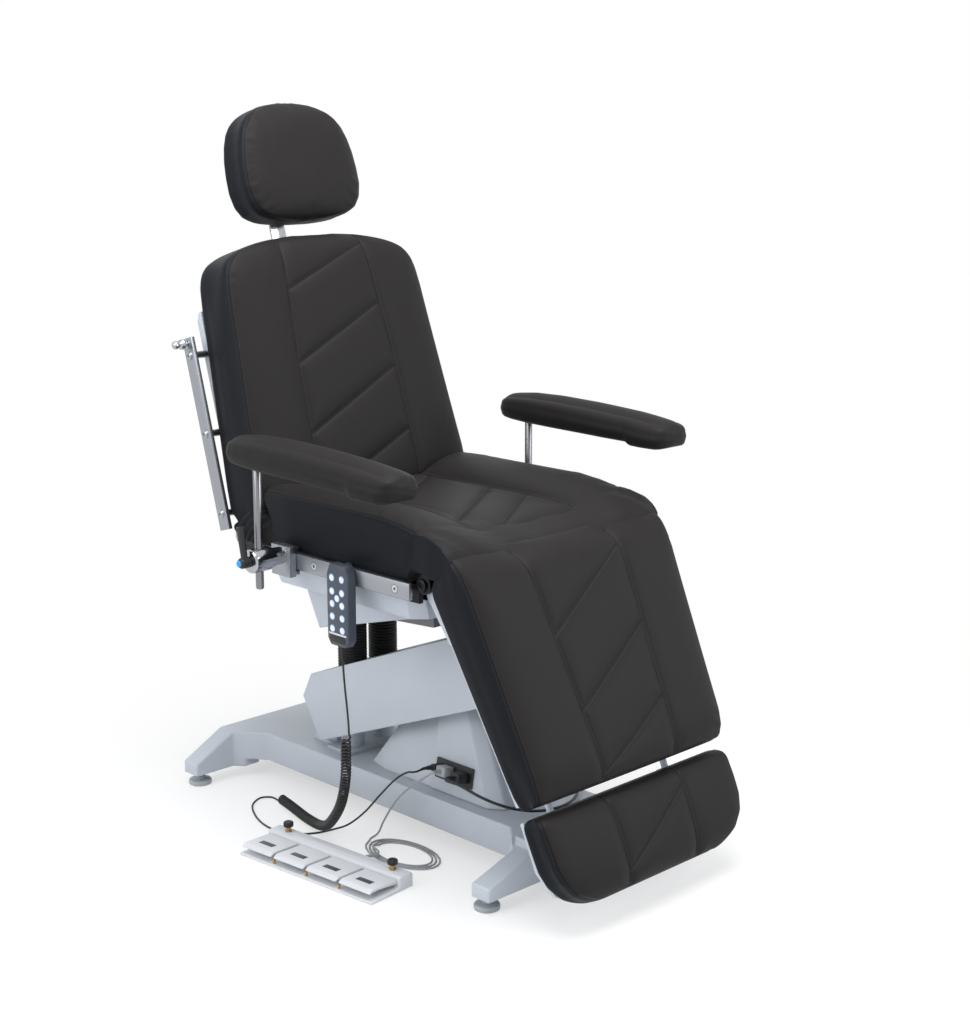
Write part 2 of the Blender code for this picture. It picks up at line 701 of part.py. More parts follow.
def seat_frame(material, parent):
    front = KNEE_AXIS[0] + 0.013
    rear = BACK_AXIS[0] - 0.012
    bm = bmesh.new()
    box(bm, BAR_IN, BAR_OUT, front, rear, BAR_LOW, BAR_HIGH)
    obj = solid("seat_frame", bm, material, parent)
    bm = bmesh.new()
    box(bm, -BAR_OUT, -BAR_IN, front, rear, BAR_LOW, BAR_HIGH)
    for low in (front + 0.042, TILT_AXIS[0] + 0.105, rear - 0.163):
        box(bm, -BAR_IN - 0.005, BAR_IN + 0.005, low, low + 0.030, BAR_LOW + 0.006, BAR_HIGH - 0.006)
    combine(obj, bm, "UNION", "seat_frame_bars")
    bm = bmesh.new()
    for side in (-1.0, 1.0):
        ends = sorted((side * BAR_IN, side * BAR_OUT))
        rod(bm, "X", BACK_AXIS, ends[0], ends[1], EYE_R, 14)
        rod(bm, "X", KNEE_AXIS, ends[0], ends[1], EYE_R, 14)
    combine(obj, bm, "UNION", "seat_frame_eyes")
    bm = bmesh.new()
    rod(bm, "X", TILT_AXIS, -BAR_OUT + 0.002, BAR_OUT - 0.002, TILT_R, 14)
    combine(obj, bm, "UNION", "tilt_shaft")
    bm = bmesh.new()
    rod(bm, "X", BACK_AXIS, -BAR_OUT - 0.1, BAR_OUT + 0.1, BORE_R, 12)
    rod(bm, "X", KNEE_AXIS, -BAR_OUT - 0.1, BAR_OUT + 0.1, BORE_R, 12)
    combine(obj, bm, "DIFFERENCE", "seat_frame_bores")


def hinge_shaft(name, axis, material, parent):
    bm = bmesh.new()
    head = BAR_OUT + GAP
    profile = [(0.006, -head - 0.0077), (0.013, -head - 0.0062), (0.013, -head), (SHAFT_R, -head),
               (SHAFT_R, head), (0.013, head), (0.013, head + 0.0062), (0.006, head + 0.0077)]
    lathe(bm, profile, "X", axis, 12)
    solid(name, bm, material, parent)


def shroud_loop(half, front, rear, front_cut, rear_cut, height):
    points = [(half, front + front_cut), (half, rear - rear_cut), (half - rear_cut, rear)]
    points = [(half - front_cut, front)] + points
    right = [Vector((x, y, height(y))) for x, y in points]
    return right + [Vector((-p.x, p.y, p.z)) for p in reversed(right)]


def seat_shroud(material, parent):
    """Moulded skirt under the seat: a wide lip, a shallow step and a tapering skirt with a sloping hem."""
    wall = 0.004
    front = KNEE_AXIS[0] + 0.030
    rear = BACK_AXIS[0] - 0.055

    def level(drop):
        return lambda y: BAR_LOW - drop

    def slope(y):
        return BAR_LOW - 0.169 + (rear - 0.105 - y) * 0.2725

    outer = [(BAR_OUT - 0.004, front, rear, 0.060, level(GAP)),
             (BAR_OUT - 0.022, front + 0.007, rear - 0.007, 0.060, level(0.049)),
             (BAR_OUT - 0.077, front + 0.025, rear - 0.050, 0.035, level(0.057)),
             (BAR_OUT - 0.100, front + 0.040, rear - 0.073, 0.035, slope)]
    inner = list(outer)
    inner[1] = outer[1][:4] + (level(0.049 - wall),)
    inner[2] = outer[2][:4] + (level(0.057 - wall),)
    loops = [shroud_loop(half, low, high, 0.030, cut, height) for half, low, high, cut, height in outer]
    for half, low, high, cut, height in reversed(inner):
        loops.append(shroud_loop(half - wall, low + wall, high - wall, 0.030, cut, height))
    bm = bmesh.new()
    rings = [[bm.verts.new(point) for point in loop] for loop in loops]
    count = len(rings[0])
    for low, high in zip(rings, rings[1:] + rings[:1]):
        for i in range(count):
            j = (i + 1) % count
            bm.faces.new((low[i], low[j], high[j], high[i]))
    bmesh.ops.triangulate(bm, faces=bm.faces[:])
    obj = solid("seat_shroud", bm, material, parent, True, 25.0)
    bm = bmesh.new()
    open_half = COLUMN_X + 0.115
    box(bm, -open_half, open_half, COLUMN_Y - 0.131, COLUMN_Y + 0.3, BAR_LOW - 0.255, BAR_LOW - 0.0615)
    combine(obj, bm, "DIFFERENCE", "shroud_rear_opening")


def seat_cushion(material, parent):
    low = BAR_HIGH + GAP
    over_eye = HINGE_Z + EYE_R + 0.0015
    front = KNEE_AXIS[0]
    dish = -SEAT_DISH
    stations = [(front + 0.0015, SEAT_HALF - 0.004, over_eye, SEAT_TOP - 0.040, dish + 0.008, 0.0),
                (front + 0.007, SEAT_HALF, over_eye, SEAT_TOP - 0.024, dish + 0.006, 0.0),
                (front + 0.028, SEAT_HALF, over_eye, SEAT_TOP - 0.012, dish + 0.004, 0.5),
                (front + 0.033, SEAT_HALF, low, SEAT_TOP - 0.010, dish + 0.004, 1.0),
                (front + 0.075, SEAT_HALF, low, SEAT_TOP - 0.004, dish + 0.002, 0.0)]
    first = front + 0.135
    last = BACK_AXIS[0] - 0.190
    for i, channel in enumerate((0.0, 1.0, 0.0, 1.0, 0.0, 0.0)):
        stations.append((first + (last - first) * i / 5.0, SEAT_HALF, low, SEAT_TOP, dish, channel))
    stations.append((last + 0.048, SEAT_HALF - 0.003, low, SEAT_TOP - 0.004, dish + 0.004, 0.0))
    bm = bmesh.new()
    cushion(bm, stations, 0.170, -0.030)
    bm.verts.ensure_lookup_table()
    lean = math.radians(BACK_ANGLE)
    for vert in bm.verts[-SECTION_POINTS:]:
        rise = vert.co.z - BACK_AXIS[1]
        vert.co.y = BACK_AXIS[0] - (BACK_FRONT + 0.0065 - math.cos(lean) * rise) / math.sin(lean)
    obj = solid("seat_cushion", bm, material, parent)
    bm = bmesh.new()
    rod(bm, "X", KNEE_AXIS, -ROLL_HALF - 0.004, ROLL_HALF + 0.004, KNEE_ROLL_R + 0.002, 24)
    combine(obj, bm, "DIFFERENCE", "seat_knee_hollow")


def rail(name, side, start, end, low, spacers, inner, material, parent, world):
    """Flat accessory rail on round spacers, along local Y."""
    bm = bmesh.new()
    ends = sorted((side * RAIL_IN, side * RAIL_OUT))
    box(bm, ends[0], ends[1], start, end, low, low + RAIL_HEIGHT)
    obj = solid(name, bm, material, parent, world)
    bm = bmesh.new()
    for along in spacers:
        reach = sorted((side * inner, side * (RAIL_IN + 0.004)))
        rod(bm, "X", (along, low + RAIL_HEIGHT / 2.0), reach[0], reach[1], 0.0085, 12)
    combine(obj, bm, "UNION", name + "_spacers", world)


def armrest(label, side, chrome, black, pad_material, parent):
    y = POST_Y
    z = RAIL_HIGH - 0.006
    bm = bmesh.new()
    ends = sorted((side * (RAIL_OUT + GAP), side * (RAIL_OUT + 0.019)))
    box(bm, ends[0], ends[1], y - 0.033, y + 0.033, RAIL_LOW - 0.017, RAIL_HIGH + 0.017)
    obj = solid("clamp_" + label, bm, chrome, parent)
    bm = bmesh.new()
    ends = sorted((side * (RAIL_IN - 0.0025), side * (RAIL_OUT + 0.015)))
    box(bm, ends[0], ends[1], y - 0.030, y + 0.030, RAIL_HIGH + GAP, RAIL_HIGH + 0.014)
    box(bm, ends[0], ends[1], y - 0.030, y + 0.030, RAIL_LOW - 0.014, RAIL_LOW - GAP)
    combine(obj, bm, "UNION", "clamp_jaws_" + label)
    bm = bmesh.new()
    hub = POST_X + 0.028
    profile = [(0.020, side * (RAIL_OUT + 0.011)), (0.021, side * (POST_X - 0.039)),
               (0.0275, side * (POST_X - 0.024)), (0.0275, side * (POST_X + 0.024)), (0.025, side * hub)]
    lathe(bm, profile, "X", (y, z), 18)
    combine(obj, bm, "UNION", "clamp_barrel_" + label)
    bm = bmesh.new()
    rod(bm, "Z", (side * POST_X, y), z - 0.1, z + 0.1, POST_R + 0.0004, 16)
    combine(obj, bm, "DIFFERENCE", "clamp_post_bore_" + label)

    lever_axis = frame("lever_axis_" + label, (side * hub, y, z), parent=parent)
    bm = bmesh.new()
    profile = [(0.0125, side * (hub + GAP)), (0.0125, side * (hub + 0.022)), (0.009, side * (hub + 0.028))]
    lathe(bm, profile, "X", (y, z), 18)
    obj = solid("lever_" + label, bm, black, lever_axis)
    bm = bmesh.new()
    bar(bm, (side * (hub + 0.012), y, z), (side * (hub + 0.017), y + 0.008, z + 0.082), 0.0075, 12, 0.009)
    combine(obj, bm, "UNION", "lever_handle_" + label)

    post_axis = frame("post_axis_" + label, (side * POST_X, y, PAD_BOTTOM), parent=parent)
    bm = bmesh.new()
    foot = PAD_BOTTOM - POST_LENGTH
    profile = [(POST_R - 0.0024, foot), (POST_R, foot + 0.0025), (POST_R, PAD_BOTTOM + 0.010),
               (POST_R - 0.0014, PAD_BOTTOM + 0.0115)]
    lathe(bm, profile, "Z", (side * POST_X, y), 16)
    solid("post_" + label, bm, chrome, post_axis)

    bm = bmesh.new()
    arm_pad(bm, side)
    obj = solid("arm_pad_" + label, bm, pad_material, post_axis)
    bm = bmesh.new()
    rod(bm, "Z", (side * POST_X, y), PAD_BOTTOM - 0.010, PAD_BOTTOM + 0.012, POST_R + 0.0004, 16)
    combine(obj, bm, "DIFFERENCE", "pad_socket_" + label)


def arm_pad(bm, side):
    """Long arm pad, narrow at the rear and wider in front."""
    rear = POST_Y + PAD_REAR
    front = POST_Y - PAD_FRONT
    stations = [(rear, PAD_HALF - 0.037, 0.020, 0.034), (rear - 0.008, PAD_HALF - 0.025, 0.008, 0.052),
                (rear - 0.032, PAD_HALF - 0.015, 0.0, 0.066)]
    first = rear - 0.094
    last = front + 0.070
    for share in (0.0, 0.25, 0.55, 0.80, 1.0):
        half = PAD_HALF - 0.009 * (1.0 - share)
        stations.append((first + (last - first) * share, half, 0.0, PAD_THICK - 0.013 * share * share))
    stations += [(front + 0.026, PAD_HALF - 0.005, 0.002, PAD_THICK - 0.019),
                 (front + 0.007, PAD_HALF - 0.017, 0.009, PAD_THICK - 0.027),
                 (front, PAD_HALF - 0.033, 0.018, PAD_THICK - 0.037)]
    section = [(0.55, 0.0), (0.90, 0.06), (1.0, 0.30), (0.97, 0.62), (0.80, 0.88), (0.42, 1.0)]
    loops = []
    for y, half, low, high in stations:
        right = [(half * x, low + (high - low) * z) for x, z in section]
        loop = right + [(-x, z) for x, z in reversed(right)]
        loops.append([Vector((side * POST_X + x, y, PAD_BOTTOM + z)) for x, z in loop])
    loft(bm, loops)


def back_panel(material, axis):
    """Painted rear panel with the two hinge plates and the socket for the headrest bar."""
    top = BACK_REAR - GAP
    rear = top - PANEL_THICK
    half = [(PLATE_OUT, 0.066), (SEAT_HALF - BACK_TAPER - 0.020, BACK_LENGTH - 0.092),
            (SEAT_HALF - BACK_TAPER - 0.068, BACK_LENGTH - 0.052)]
    bm = bmesh.new()
    prism(bm, half + [(-x, y) for x, y in reversed(half)], "Z", rear, top)
    obj = solid("back_panel", bm, material, axis, False)
    bm = bmesh.new()
    under = top - 0.0017
    cheek = arc(0.0, 0.0, 0.020, 120.0, 300.0, 8) + [(0.034, -0.026), (BACK_LENGTH - 0.172, -0.026)]
    cheek += [(BACK_LENGTH - 0.152, rear + 0.002), (BACK_LENGTH - 0.152, under), (0.062, under),
              (0.026, 0.014)]
    prism(bm, cheek, "X", PLATE_IN, PLATE_OUT)
    prism(bm, cheek, "X", -PLATE_OUT, -PLATE_IN)
    combine(obj, bm, "UNION", "back_side_plates", False)
    bm = bmesh.new()
    bar_low = -HEAD_SET_BACK - 0.026
    box(bm, -0.042, 0.042, BACK_LENGTH - 0.292, BACK_LENGTH - 0.082, bar_low - 0.011, under - 0.004)
    combine(obj, bm, "UNION", "head_bar_socket", False)
    bm = bmesh.new()
    slot = HEAD_BAR_HALF + 0.0004
    rod(bm, "X", (0.0, 0.0), -BAR_OUT - 0.1, BAR_OUT + 0.1, BORE_R, 12)
    box(bm, -slot, slot, BACK_LENGTH - 0.312, BACK_LENGTH - 0.052,
        bar_low - 0.0005, bar_low + HEAD_BAR_THICK + 0.0005)
    combine(obj, bm, "DIFFERENCE", "back_bores", False)


def back_cushion(material, axis):
    low = BACK_REAR
    over_eye = EYE_R + 0.002
    wide = SEAT_HALF
    thin = SEAT_HALF - BACK_TAPER
    stations = [(0.012, wide - 0.004, over_eye, BACK_FRONT - 0.032, 0.0, 0.0),
                (0.020, wide, over_eye, BACK_FRONT - 0.014, 0.004, 0.0),
                (0.062, wide + 0.002, low, BACK_FRONT - 0.002, 0.008, 0.0)]
    first = 0.120
    last = BACK_LENGTH - 0.152
    for i in range(7):
        share = i / 6.0
        half = wide - BACK_TAPER * share
        top = BACK_FRONT - 0.006 * share
        stations.append((first + (last - first) * share, half, low, top, 0.010, 1.0 - i % 2))
    stations += [(BACK_LENGTH - 0.092, thin - 0.005, low, BACK_FRONT - 0.007, 0.010, 0.0),
                 (BACK_LENGTH - 0.047, thin - 0.023, low, BACK_FRONT - 0.012, 0.010, 0.0),
                 (BACK_LENGTH - 0.020, thin - 0.063, low + 0.002, BACK_FRONT - 0.020, 0.009, 0.0),
                 (BACK_LENGTH - 0.006, thin - 0.118, low + 0.010, BACK_FRONT - 0.030, 0.006, 0.0),
                 (BACK_LENGTH, thin - 0.188, low + 0.022, BACK_FRONT - 0.044, 0.003, 0.0)]
    bm = bmesh.new()
    cushion(bm, stations, 0.150, 0.040)
    obj = solid("back_cushion", bm, material, axis, False)
    bm = bmesh.new()
    nose = [(0.030, over_eye + 0.002)] + arc(0.0, 0.0, BACK_ROLL_R, 84.0, 118.0, 4)
    nose += arc(0.0, 0.0, over_eye + 0.002, 118.0, 90.0, 2)
    prism(bm, nose, "X", -ROLL_HALF, ROLL_HALF)
    combine(obj, bm, "UNION", "back_roll", False)


def headrest(upholstery, steel, chrome, axis):
    """Bar that slides in the back, with a bracket and pad that tilt on its upper end."""
    place_at = FRAMES["back_axis"] @ Vector((0.0, BACK_LENGTH + HEAD_RISE, -HEAD_SET_BACK))
    slide = frame("head_axis", place_at, BACK_ANGLE, parent=axis)
    pin_z = -0.010
    bm = bmesh.new()
    box(bm, -HEAD_BAR_HALF, HEAD_BAR_HALF, -HEAD_RISE - 0.242, -0.010, -0.026, -0.026 + HEAD_BAR_THICK)
    obj = solid("head_bar", bm, chrome, slide, False)
    bm = bmesh.new()
    rod(bm, "X", (0.0, pin_z), -HEAD_BAR_HALF, HEAD_BAR_HALF, 0.016, 18)
    combine(obj, bm, "UNION", "head_bar_eye", False)
    bm = bmesh.new()
    rod(bm, "X", (0.0, pin_z), -HEAD_BAR_HALF - 0.03, HEAD_BAR_HALF + 0.03, HEAD_PIN_R + BEARING_CLEAR, 14)
    combine(obj, bm, "DIFFERENCE", "head_bar_bore", False)

    low = HEAD_SEAT
    plate = low - GAP
    lug_in = HEAD_BAR_HALF + GAP
    lug_out = lug_in + 0.006
    bm = bmesh.new()
    box(bm, -0.110, 0.110, -0.070, 0.070, plate - 0.0092, plate)
    obj = solid("head_bracket", bm, steel, slide, False)
    bm = bmesh.new()
    lug = arc(0.0, pin_z, 0.015, 180.0, 360.0, 8) + [(0.030, plate - 0.0077), (-0.030, plate - 0.0077)]
    prism(bm, lug, "X", lug_in, lug_out)
    prism(bm, lug, "X", -lug_out, -lug_in)
    rod(bm, "X", (0.0, pin_z), -lug_in - 0.003, lug_in + 0.003, HEAD_PIN_R, 14)
    combine(obj, bm, "UNION", "head_bracket_lugs", False)

    end = HEAD_LENGTH / 2.0
    top = low + HEAD_THICK
    stations = [(-end, HEAD_HALF - 0.066, low + 0.012, top - 0.032, 0.0, 0.0),
                (-end + 0.010, HEAD_HALF - 0.028, low + 0.002, top - 0.012, 0.003, 0.0),
                (-end + 0.037, HEAD_HALF - 0.006, low, top - 0.002, 0.005, 0.0),
                (-end + 0.087, HEAD_HALF + 0.002, low, top, 0.006, 1.0),
                (0.0, HEAD_HALF, low, top, 0.006, 0.0),
                (end - 0.087, HEAD_HALF - 0.008, low, top, 0.006, 1.0),
                (end - 0.042, HEAD_HALF - 0.024, low, top - 0.003, 0.005, 0.0),
                (end - 0.014, HEAD_HALF - 0.048, low + 0.002, top - 0.014, 0.003, 0.0),
                (end, HEAD_HALF - 0.084, low + 0.012, top - 0.032, 0.0, 0.0)]
    bm = bmesh.new()
    cushion(bm, stations, 0.150, 0.0, 0.003)
    solid("headrest_cushion", bm, upholstery, slide, False)


def back_section(paint_grey, upholstery, steel, chrome, parent):
    axis = frame("back_axis", (0.0, *BACK_AXIS), BACK_ANGLE, parent=parent)
    back_panel(paint_grey, axis)
    back_cushion(upholstery, axis)
    start = 0.021
    end = BACK_LENGTH - 0.210
    spacers = (start + 0.039, (start + end) / 2.0, end - 0.042)
    for label, side in (("near", -1.0), ("far", 1.0)):
        rail("back_rail_" + label, side, start, end, -0.0135 - RAIL_HEIGHT / 2.0, spacers, PLATE_OUT + GAP,
             steel, axis, False)
    headrest(upholstery, steel, chrome, axis)


def leg_panel_share(y):
    return (-y - LEG_PANEL_START) / (LEG_PANEL_END - LEG_PANEL_START)


def leg_panel(material, axis):
    end = LEG_PANEL_REAR + LEG_PANEL_RISE
    profile = [(-LEG_PANEL_START, LEG_PANEL_REAR), (-LEG_PANEL_START, LEG_PANEL_REAR + LEG_PANEL_THICK),
               (-LEG_PANEL_END, end + LEG_PANEL_THICK), (-LEG_PANEL_END, end)]
    half = SEAT_HALF - 0.016
    bm = bmesh.new()
    prism(bm, profile, "X", -half, half)
    for vert in bm.verts:
        vert.co.x *= 1.0 - (LEG_TAPER - 0.002) / half * leg_panel_share(vert.co.y)
    obj = solid("leg_panel", bm, material, axis, False)
    bm = bmesh.new()
    lug = arc(0.0, 0.0, 0.020, -60.0, 100.0, 8)
    lug += [(-0.028, 0.020), (-0.140, 0.028), (-0.140, 0.006), (-0.028, -0.018)]
    prism(bm, lug, "X", PLATE_IN, PLATE_OUT)
    prism(bm, lug, "X", -PLATE_OUT, -PLATE_IN)
    combine(obj, bm, "UNION", "leg_lugs", False)
    bm = bmesh.new()
    for side in (-1.0, 1.0):
        box(bm, side * ROD_X - 0.018, side * ROD_X + 0.018, -LEG_LENGTH + 0.012, -LEG_LENGTH + 0.145,
            ROD_N - 0.016, ROD_N + 0.0195)
    combine(obj, bm, "UNION", "foot_rod_guides", False)
    bm = bmesh.new()
    rod(bm, "X", (0.0, 0.0), -BAR_OUT - 0.1, BAR_OUT + 0.1, BORE_R, 12)
    for side in (-1.0, 1.0):
        rod(bm, "Y", (side * ROD_X, ROD_N), -LEG_LENGTH - 0.1, -LEG_LENGTH + 0.210, ROD_R + 0.0007, 14)
    combine(obj, bm, "DIFFERENCE", "leg_bores", False)


def leg_cushion(material, axis):
    def station(y, inset, drop, channel):
        half = SEAT_HALF + LEG_TAPER * y / LEG_LENGTH - inset
        low = LEG_PANEL_REAR + LEG_PANEL_THICK + LEG_PANEL_RISE * leg_panel_share(y) + GAP
        return (y, half, low, LEG_FRONT - drop, 0.007, channel)

    stations = [station(-0.005, 0.005, 0.034, 0.0), station(-0.012, 0.001, 0.020, 0.0),
                station(-0.030, 0.0, 0.008, 0.0), station(-0.065, 0.0, 0.001, 0.0)]
    first = -0.130
    last = -LEG_LENGTH + 0.125
    for i in range(5):
        stations.append(station(first + (last - first) * i / 4.0, 0.0, 0.0, 1.0 - i % 2))
    stations += [station(-LEG_LENGTH + 0.065, 0.0, 0.001, 0.0),
                 station(-LEG_LENGTH + 0.030, 0.002, 0.005, 0.0),
                 station(-LEG_LENGTH + 0.010, 0.007, 0.016, 0.0), station(-LEG_LENGTH, 0.018, 0.034, 0.0)]
    bm = bmesh.new()
    cushion(bm, list(reversed(stations)), 0.150, 0.040)
    obj = solid("leg_cushion", bm, material, axis, False)
    bm = bmesh.new()
    roll = [(-0.030, 0.030)] + arc(0.0, 0.0, KNEE_ROLL_R, 96.0, 32.0, 6)
    roll += arc(0.0, 0.0, 0.030, 32.0, 90.0, 3)
    prism(bm, roll, "X", -ROLL_HALF, ROLL_HALF)
    combine(obj, bm, "UNION", "leg_roll", False)


def foot_section(paint_grey, upholstery, axis):
    """Foot pad on two rods that slide in the leg panel's guides."""
    place_at = FRAMES["knee_axis"] @ Vector((0.0, -LEG_LENGTH - FOOT_GAP, 0.0))
    slide = frame("foot_axis", place_at, LEG_ANGLE, parent=axis)
    rear = LEG_PANEL_REAR + LEG_PANEL_RISE - 0.0007
    top = rear + LEG_PANEL_THICK
    half = LEG_END_HALF - 0.012
    bm = bmesh.new()
    outline = [(half, -0.003), (half, -FOOT_LENGTH + 0.098), (half - 0.026, -FOOT_LENGTH + 0.038),
               (half - 0.096, -FOOT_LENGTH + 0.008)]
    prism(bm, outline + [(-x, y) for x, y in reversed(outline)], "Z", rear, top)
    obj = solid("foot_panel", bm, paint_grey, slide, False)
    bm = bmesh.new()
    for side in (-1.0, 1.0):
        box(bm, side * ROD_X - 0.018, side * ROD_X + 0.018, -0.090, -0.004, ROD_N - 0.0125, rear + 0.002)
        rod(bm, "Y", (side * ROD_X, ROD_N), -0.060, FOOT_GAP + 0.170, ROD_R, 14)
    combine(obj, bm, "UNION", "foot_rods", False)

    low = top + GAP
    stations = [(0.0, -0.011, 0.007, 0.030, 0.0, 0.0), (-0.006, -0.003, 0.0004, 0.016, 0.003, 0.0),
                (-0.022, 0.0, 0.0, 0.008, 0.006, 0.0), (-0.070, -0.001, 0.0, 0.005, 0.007, 0.0),
                (-FOOT_LENGTH + 0.098, -0.003, 0.0, 0.005, 0.007, 1.0),
                (-FOOT_LENGTH + 0.063, -0.015, 0.0, 0.006, 0.006, 0.0),
                (-FOOT_LENGTH + 0.030, -0.043, 0.0, 0.011, 0.005, 0.0),
                (-FOOT_LENGTH + 0.010, -0.081, 0.0004, 0.020, 0.003, 0.0),
                (-FOOT_LENGTH, -0.125, 0.007, 0.032, 0.0, 0.0)]
    layout = []
    for y, wider, raised, drop, crown, channel in reversed(stations):
        layout.append((y, LEG_END_HALF + wider, low + raised, FOOT_FRONT - drop, crown, channel))
    bm = bmesh.new()
    cushion(bm, layout, 0.150, 0.020, 0.003)
    solid("foot_cushion", bm, upholstery, slide, False)


def leg_section(paint_grey, upholstery, parent):
    axis = frame("knee_axis", (0.0, *KNEE_AXIS), LEG_ANGLE, parent=parent)
    leg_panel(paint_grey, axis)
    leg_cushion(upholstery, axis)
    foot_section(paint_grey, upholstery, axis)


def handset(material, parent):
    """Hand control hung by a hook over the near rail."""
    y = HANDSET_Y
    half = HANDSET_HALF
    low = HANDSET_TOP - HANDSET_LENGTH
    outline = [(y - half, low + 0.015), (y - half + 0.010, low), (y + half - 0.010, low),
               (y + half, low + 0.015), (y + half + 0.001, HANDSET_TOP - 0.025),
               (y + half - 0.009, HANDSET_TOP), (y - half + 0.009, HANDSET_TOP), (y - half - 0.001, HANDSET_TOP - 0.025)]
    bm = bmesh.new()
    prism(bm, outline, "X", -RAIL_OUT - GAP - HANDSET_THICK, -RAIL_OUT - GAP)
    obj = solid("handset", bm, material, parent)
    bevel(obj, 0.003, 2)
    bm = bmesh.new()
    under = RAIL_HIGH + 0.005
    over = under + 0.0028
    behind = RAIL_IN - 0.0045
    hook = [(-RAIL_OUT - 0.005, under), (-behind - 0.0027, under), (-behind - 0.0027, RAIL_HIGH - 0.006),
            (-behind, RAIL_HIGH - 0.006), (-behind, over), (-RAIL_OUT - 0.005, over)]
    prism(bm, hook, "Y", y - 0.006, y + 0.006)
    combine(obj, bm, "UNION", "handset_hook")


def footswitch(shell, black, parent):
    deep = SWITCH_DEPTH / 2.0
    hinge = 0.0225
    section = [(-deep, 0.0), (deep, 0.0), (deep, 0.030), (deep - 0.005, 0.035), (hinge + 0.0055, 0.035),
               (hinge + 0.0005, 0.030), (hinge + 0.0005, 0.010), (-deep, 0.006)]
    knobs = (("front", -SWITCH_LENGTH / 2.0 + 0.0415), ("rear", SWITCH_LENGTH / 2.0 - 0.0475))
    bm = bmesh.new()
    prism(bm, section, "Y", -SWITCH_LENGTH / 2.0, SWITCH_LENGTH / 2.0)
    obj = solid("footswitch_base", bm, shell, parent, False)
    bevel(obj, 0.002, 1)
    bm = bmesh.new()
    for label, along in knobs:
        rod(bm, "Z", (deep - 0.022, along), 0.030, 0.047, 0.005, 14)
    rod(bm, "X", (-0.050, 0.018), deep - 0.007, deep + 0.013, 0.006, 14)
    combine(obj, bm, "UNION", "footswitch_posts", False)
    long = hinge + deep - 0.0015
    for i in range(PEDALS):
        y = PEDAL_PITCH * (i - (PEDALS - 1) / 2.0)
        place_at = FRAMES[parent.name] @ Vector((hinge, y, 0.022))
        axis = frame("pedal_axis_%d" % (i + 1), place_at, angle_z=SWITCH_TURN, parent=parent)
        bm = bmesh.new()
        shape = [(-GAP, -0.005), (-GAP, 0.006), (-long + 0.010, 0.009), (-long, 0.003),
                 (-long, -0.001), (-0.060, 0.001)]
        prism(bm, shape, "Y", -PEDAL_PITCH / 2.0 + 0.004, PEDAL_PITCH / 2.0 - 0.004)
        bevel(solid("pedal_%d" % (i + 1), bm, shell, axis, False), 0.002, 1)
    for label, along in knobs:
        place_at = FRAMES[parent.name] @ Vector((deep - 0.022, along, 0.0))
        axis = frame("knob_axis_" + label, place_at, angle_z=SWITCH_TURN, parent=parent)
        bm = bmesh.new()
        profile = [(0.0054, 0.0354), (0.0090, 0.0354), (0.0115, 0.039), (0.0115, 0.056), (0.009, 0.060),
                   (0.001, 0.060), (0.001, 0.050), (0.0054, 0.050)]
        lathe(bm, profile, "Z", (0.0, 0.0), 12, True)
        solid("knob_" + label, bm, black, axis, False)


def spiral(centre, start, end, turns, per_turn, stretch, turn_y, height):
    """Flat coil on the floor, wound inward, as an oval."""
    points = []
    count = int(turns * per_turn)
    for i in range(count + 1):
        share = i / count
        turn = 2.0 * math.pi * turns * share + math.radians(turn_y)
        size = start + (end - start) * share
        x = centre[0] + size * math.cos(turn)
        y = centre[1] + stretch * size * math.sin(turn)
        points.append(Vector((x, y, height)))
    return points


def report_gap(name, points, radius, reach):
    print("least gap", name, round(1000.0 * least_gap(points, radius, reach), 2), "mm")


def handset_cord(material, face, carriage_axis):
    """Cord from the handset: a hanging lead, a curled stretch and a plain run to the tower."""
    radius = 0.0026
    curl_radius = 0.0021
    start = Vector((-RAIL_OUT - 0.013, HANDSET_Y, HANDSET_TOP - HANDSET_LENGTH - GAP))
    hang = [start, start + Vector((0.0, 0.0, -0.030)), (-0.366, -0.030, 0.440), (-0.364, -0.029, 0.380),
            (-0.363, -0.029, 0.330)]
    cord("handset_cord_hang", [Vector(p) for p in hang], radius, material, carriage_axis)
    route = [(-0.363, -0.029, 0.3297), (-0.362, -0.028, 0.280), (-0.358, -0.020, 0.210),
             (-0.345, 0.015, 0.135), (-0.315, 0.090, 0.062), (-0.285, 0.160, 0.026),
             (-0.262, 0.240, 0.0140), (-0.240, 0.330, 0.0140), (-0.225, 0.400, 0.0140)]
    path = smooth_path(route, 0.016)
    points = curled(path, CORD_CURLS, 8, 0.0115)
    report_gap("handset_cord_curl", points, curl_radius, 0.05)
    cord("handset_cord_curl", points, curl_radius, material, carriage_axis, 1)
    last = path[-1]
    floor = [last + Vector((0.0005, 0.0005, 0.0)), last + Vector((0.003, 0.014, -0.003)),
             (-0.225, 0.438, 0.004), (-0.250, 0.446, 0.003), (-0.290, 0.420, 0.003), (-0.326, 0.360, 0.003),
             (-0.345, 0.300, 0.003), (-0.345, 0.250, 0.003), (-0.325, 0.205, 0.003), (-0.290, 0.175, 0.0035),
             (-0.250, 0.158, 0.006), (-0.225, 0.130, 0.020), (-0.208, 0.090, 0.058), (-0.200, 0.040, 0.115),
             (-0.198, -0.010, 0.165), (-0.192, -0.045, 0.190), face @ Vector((-0.085, 0.046, -0.004)),
             face @ Vector((-0.062, 0.044, 0.003))]
    plug = face @ Vector((-0.0485, 0.044, 0.004))
    cord("handset_cord_floor", smooth_path(floor, 0.019) + [plug], radius, material)


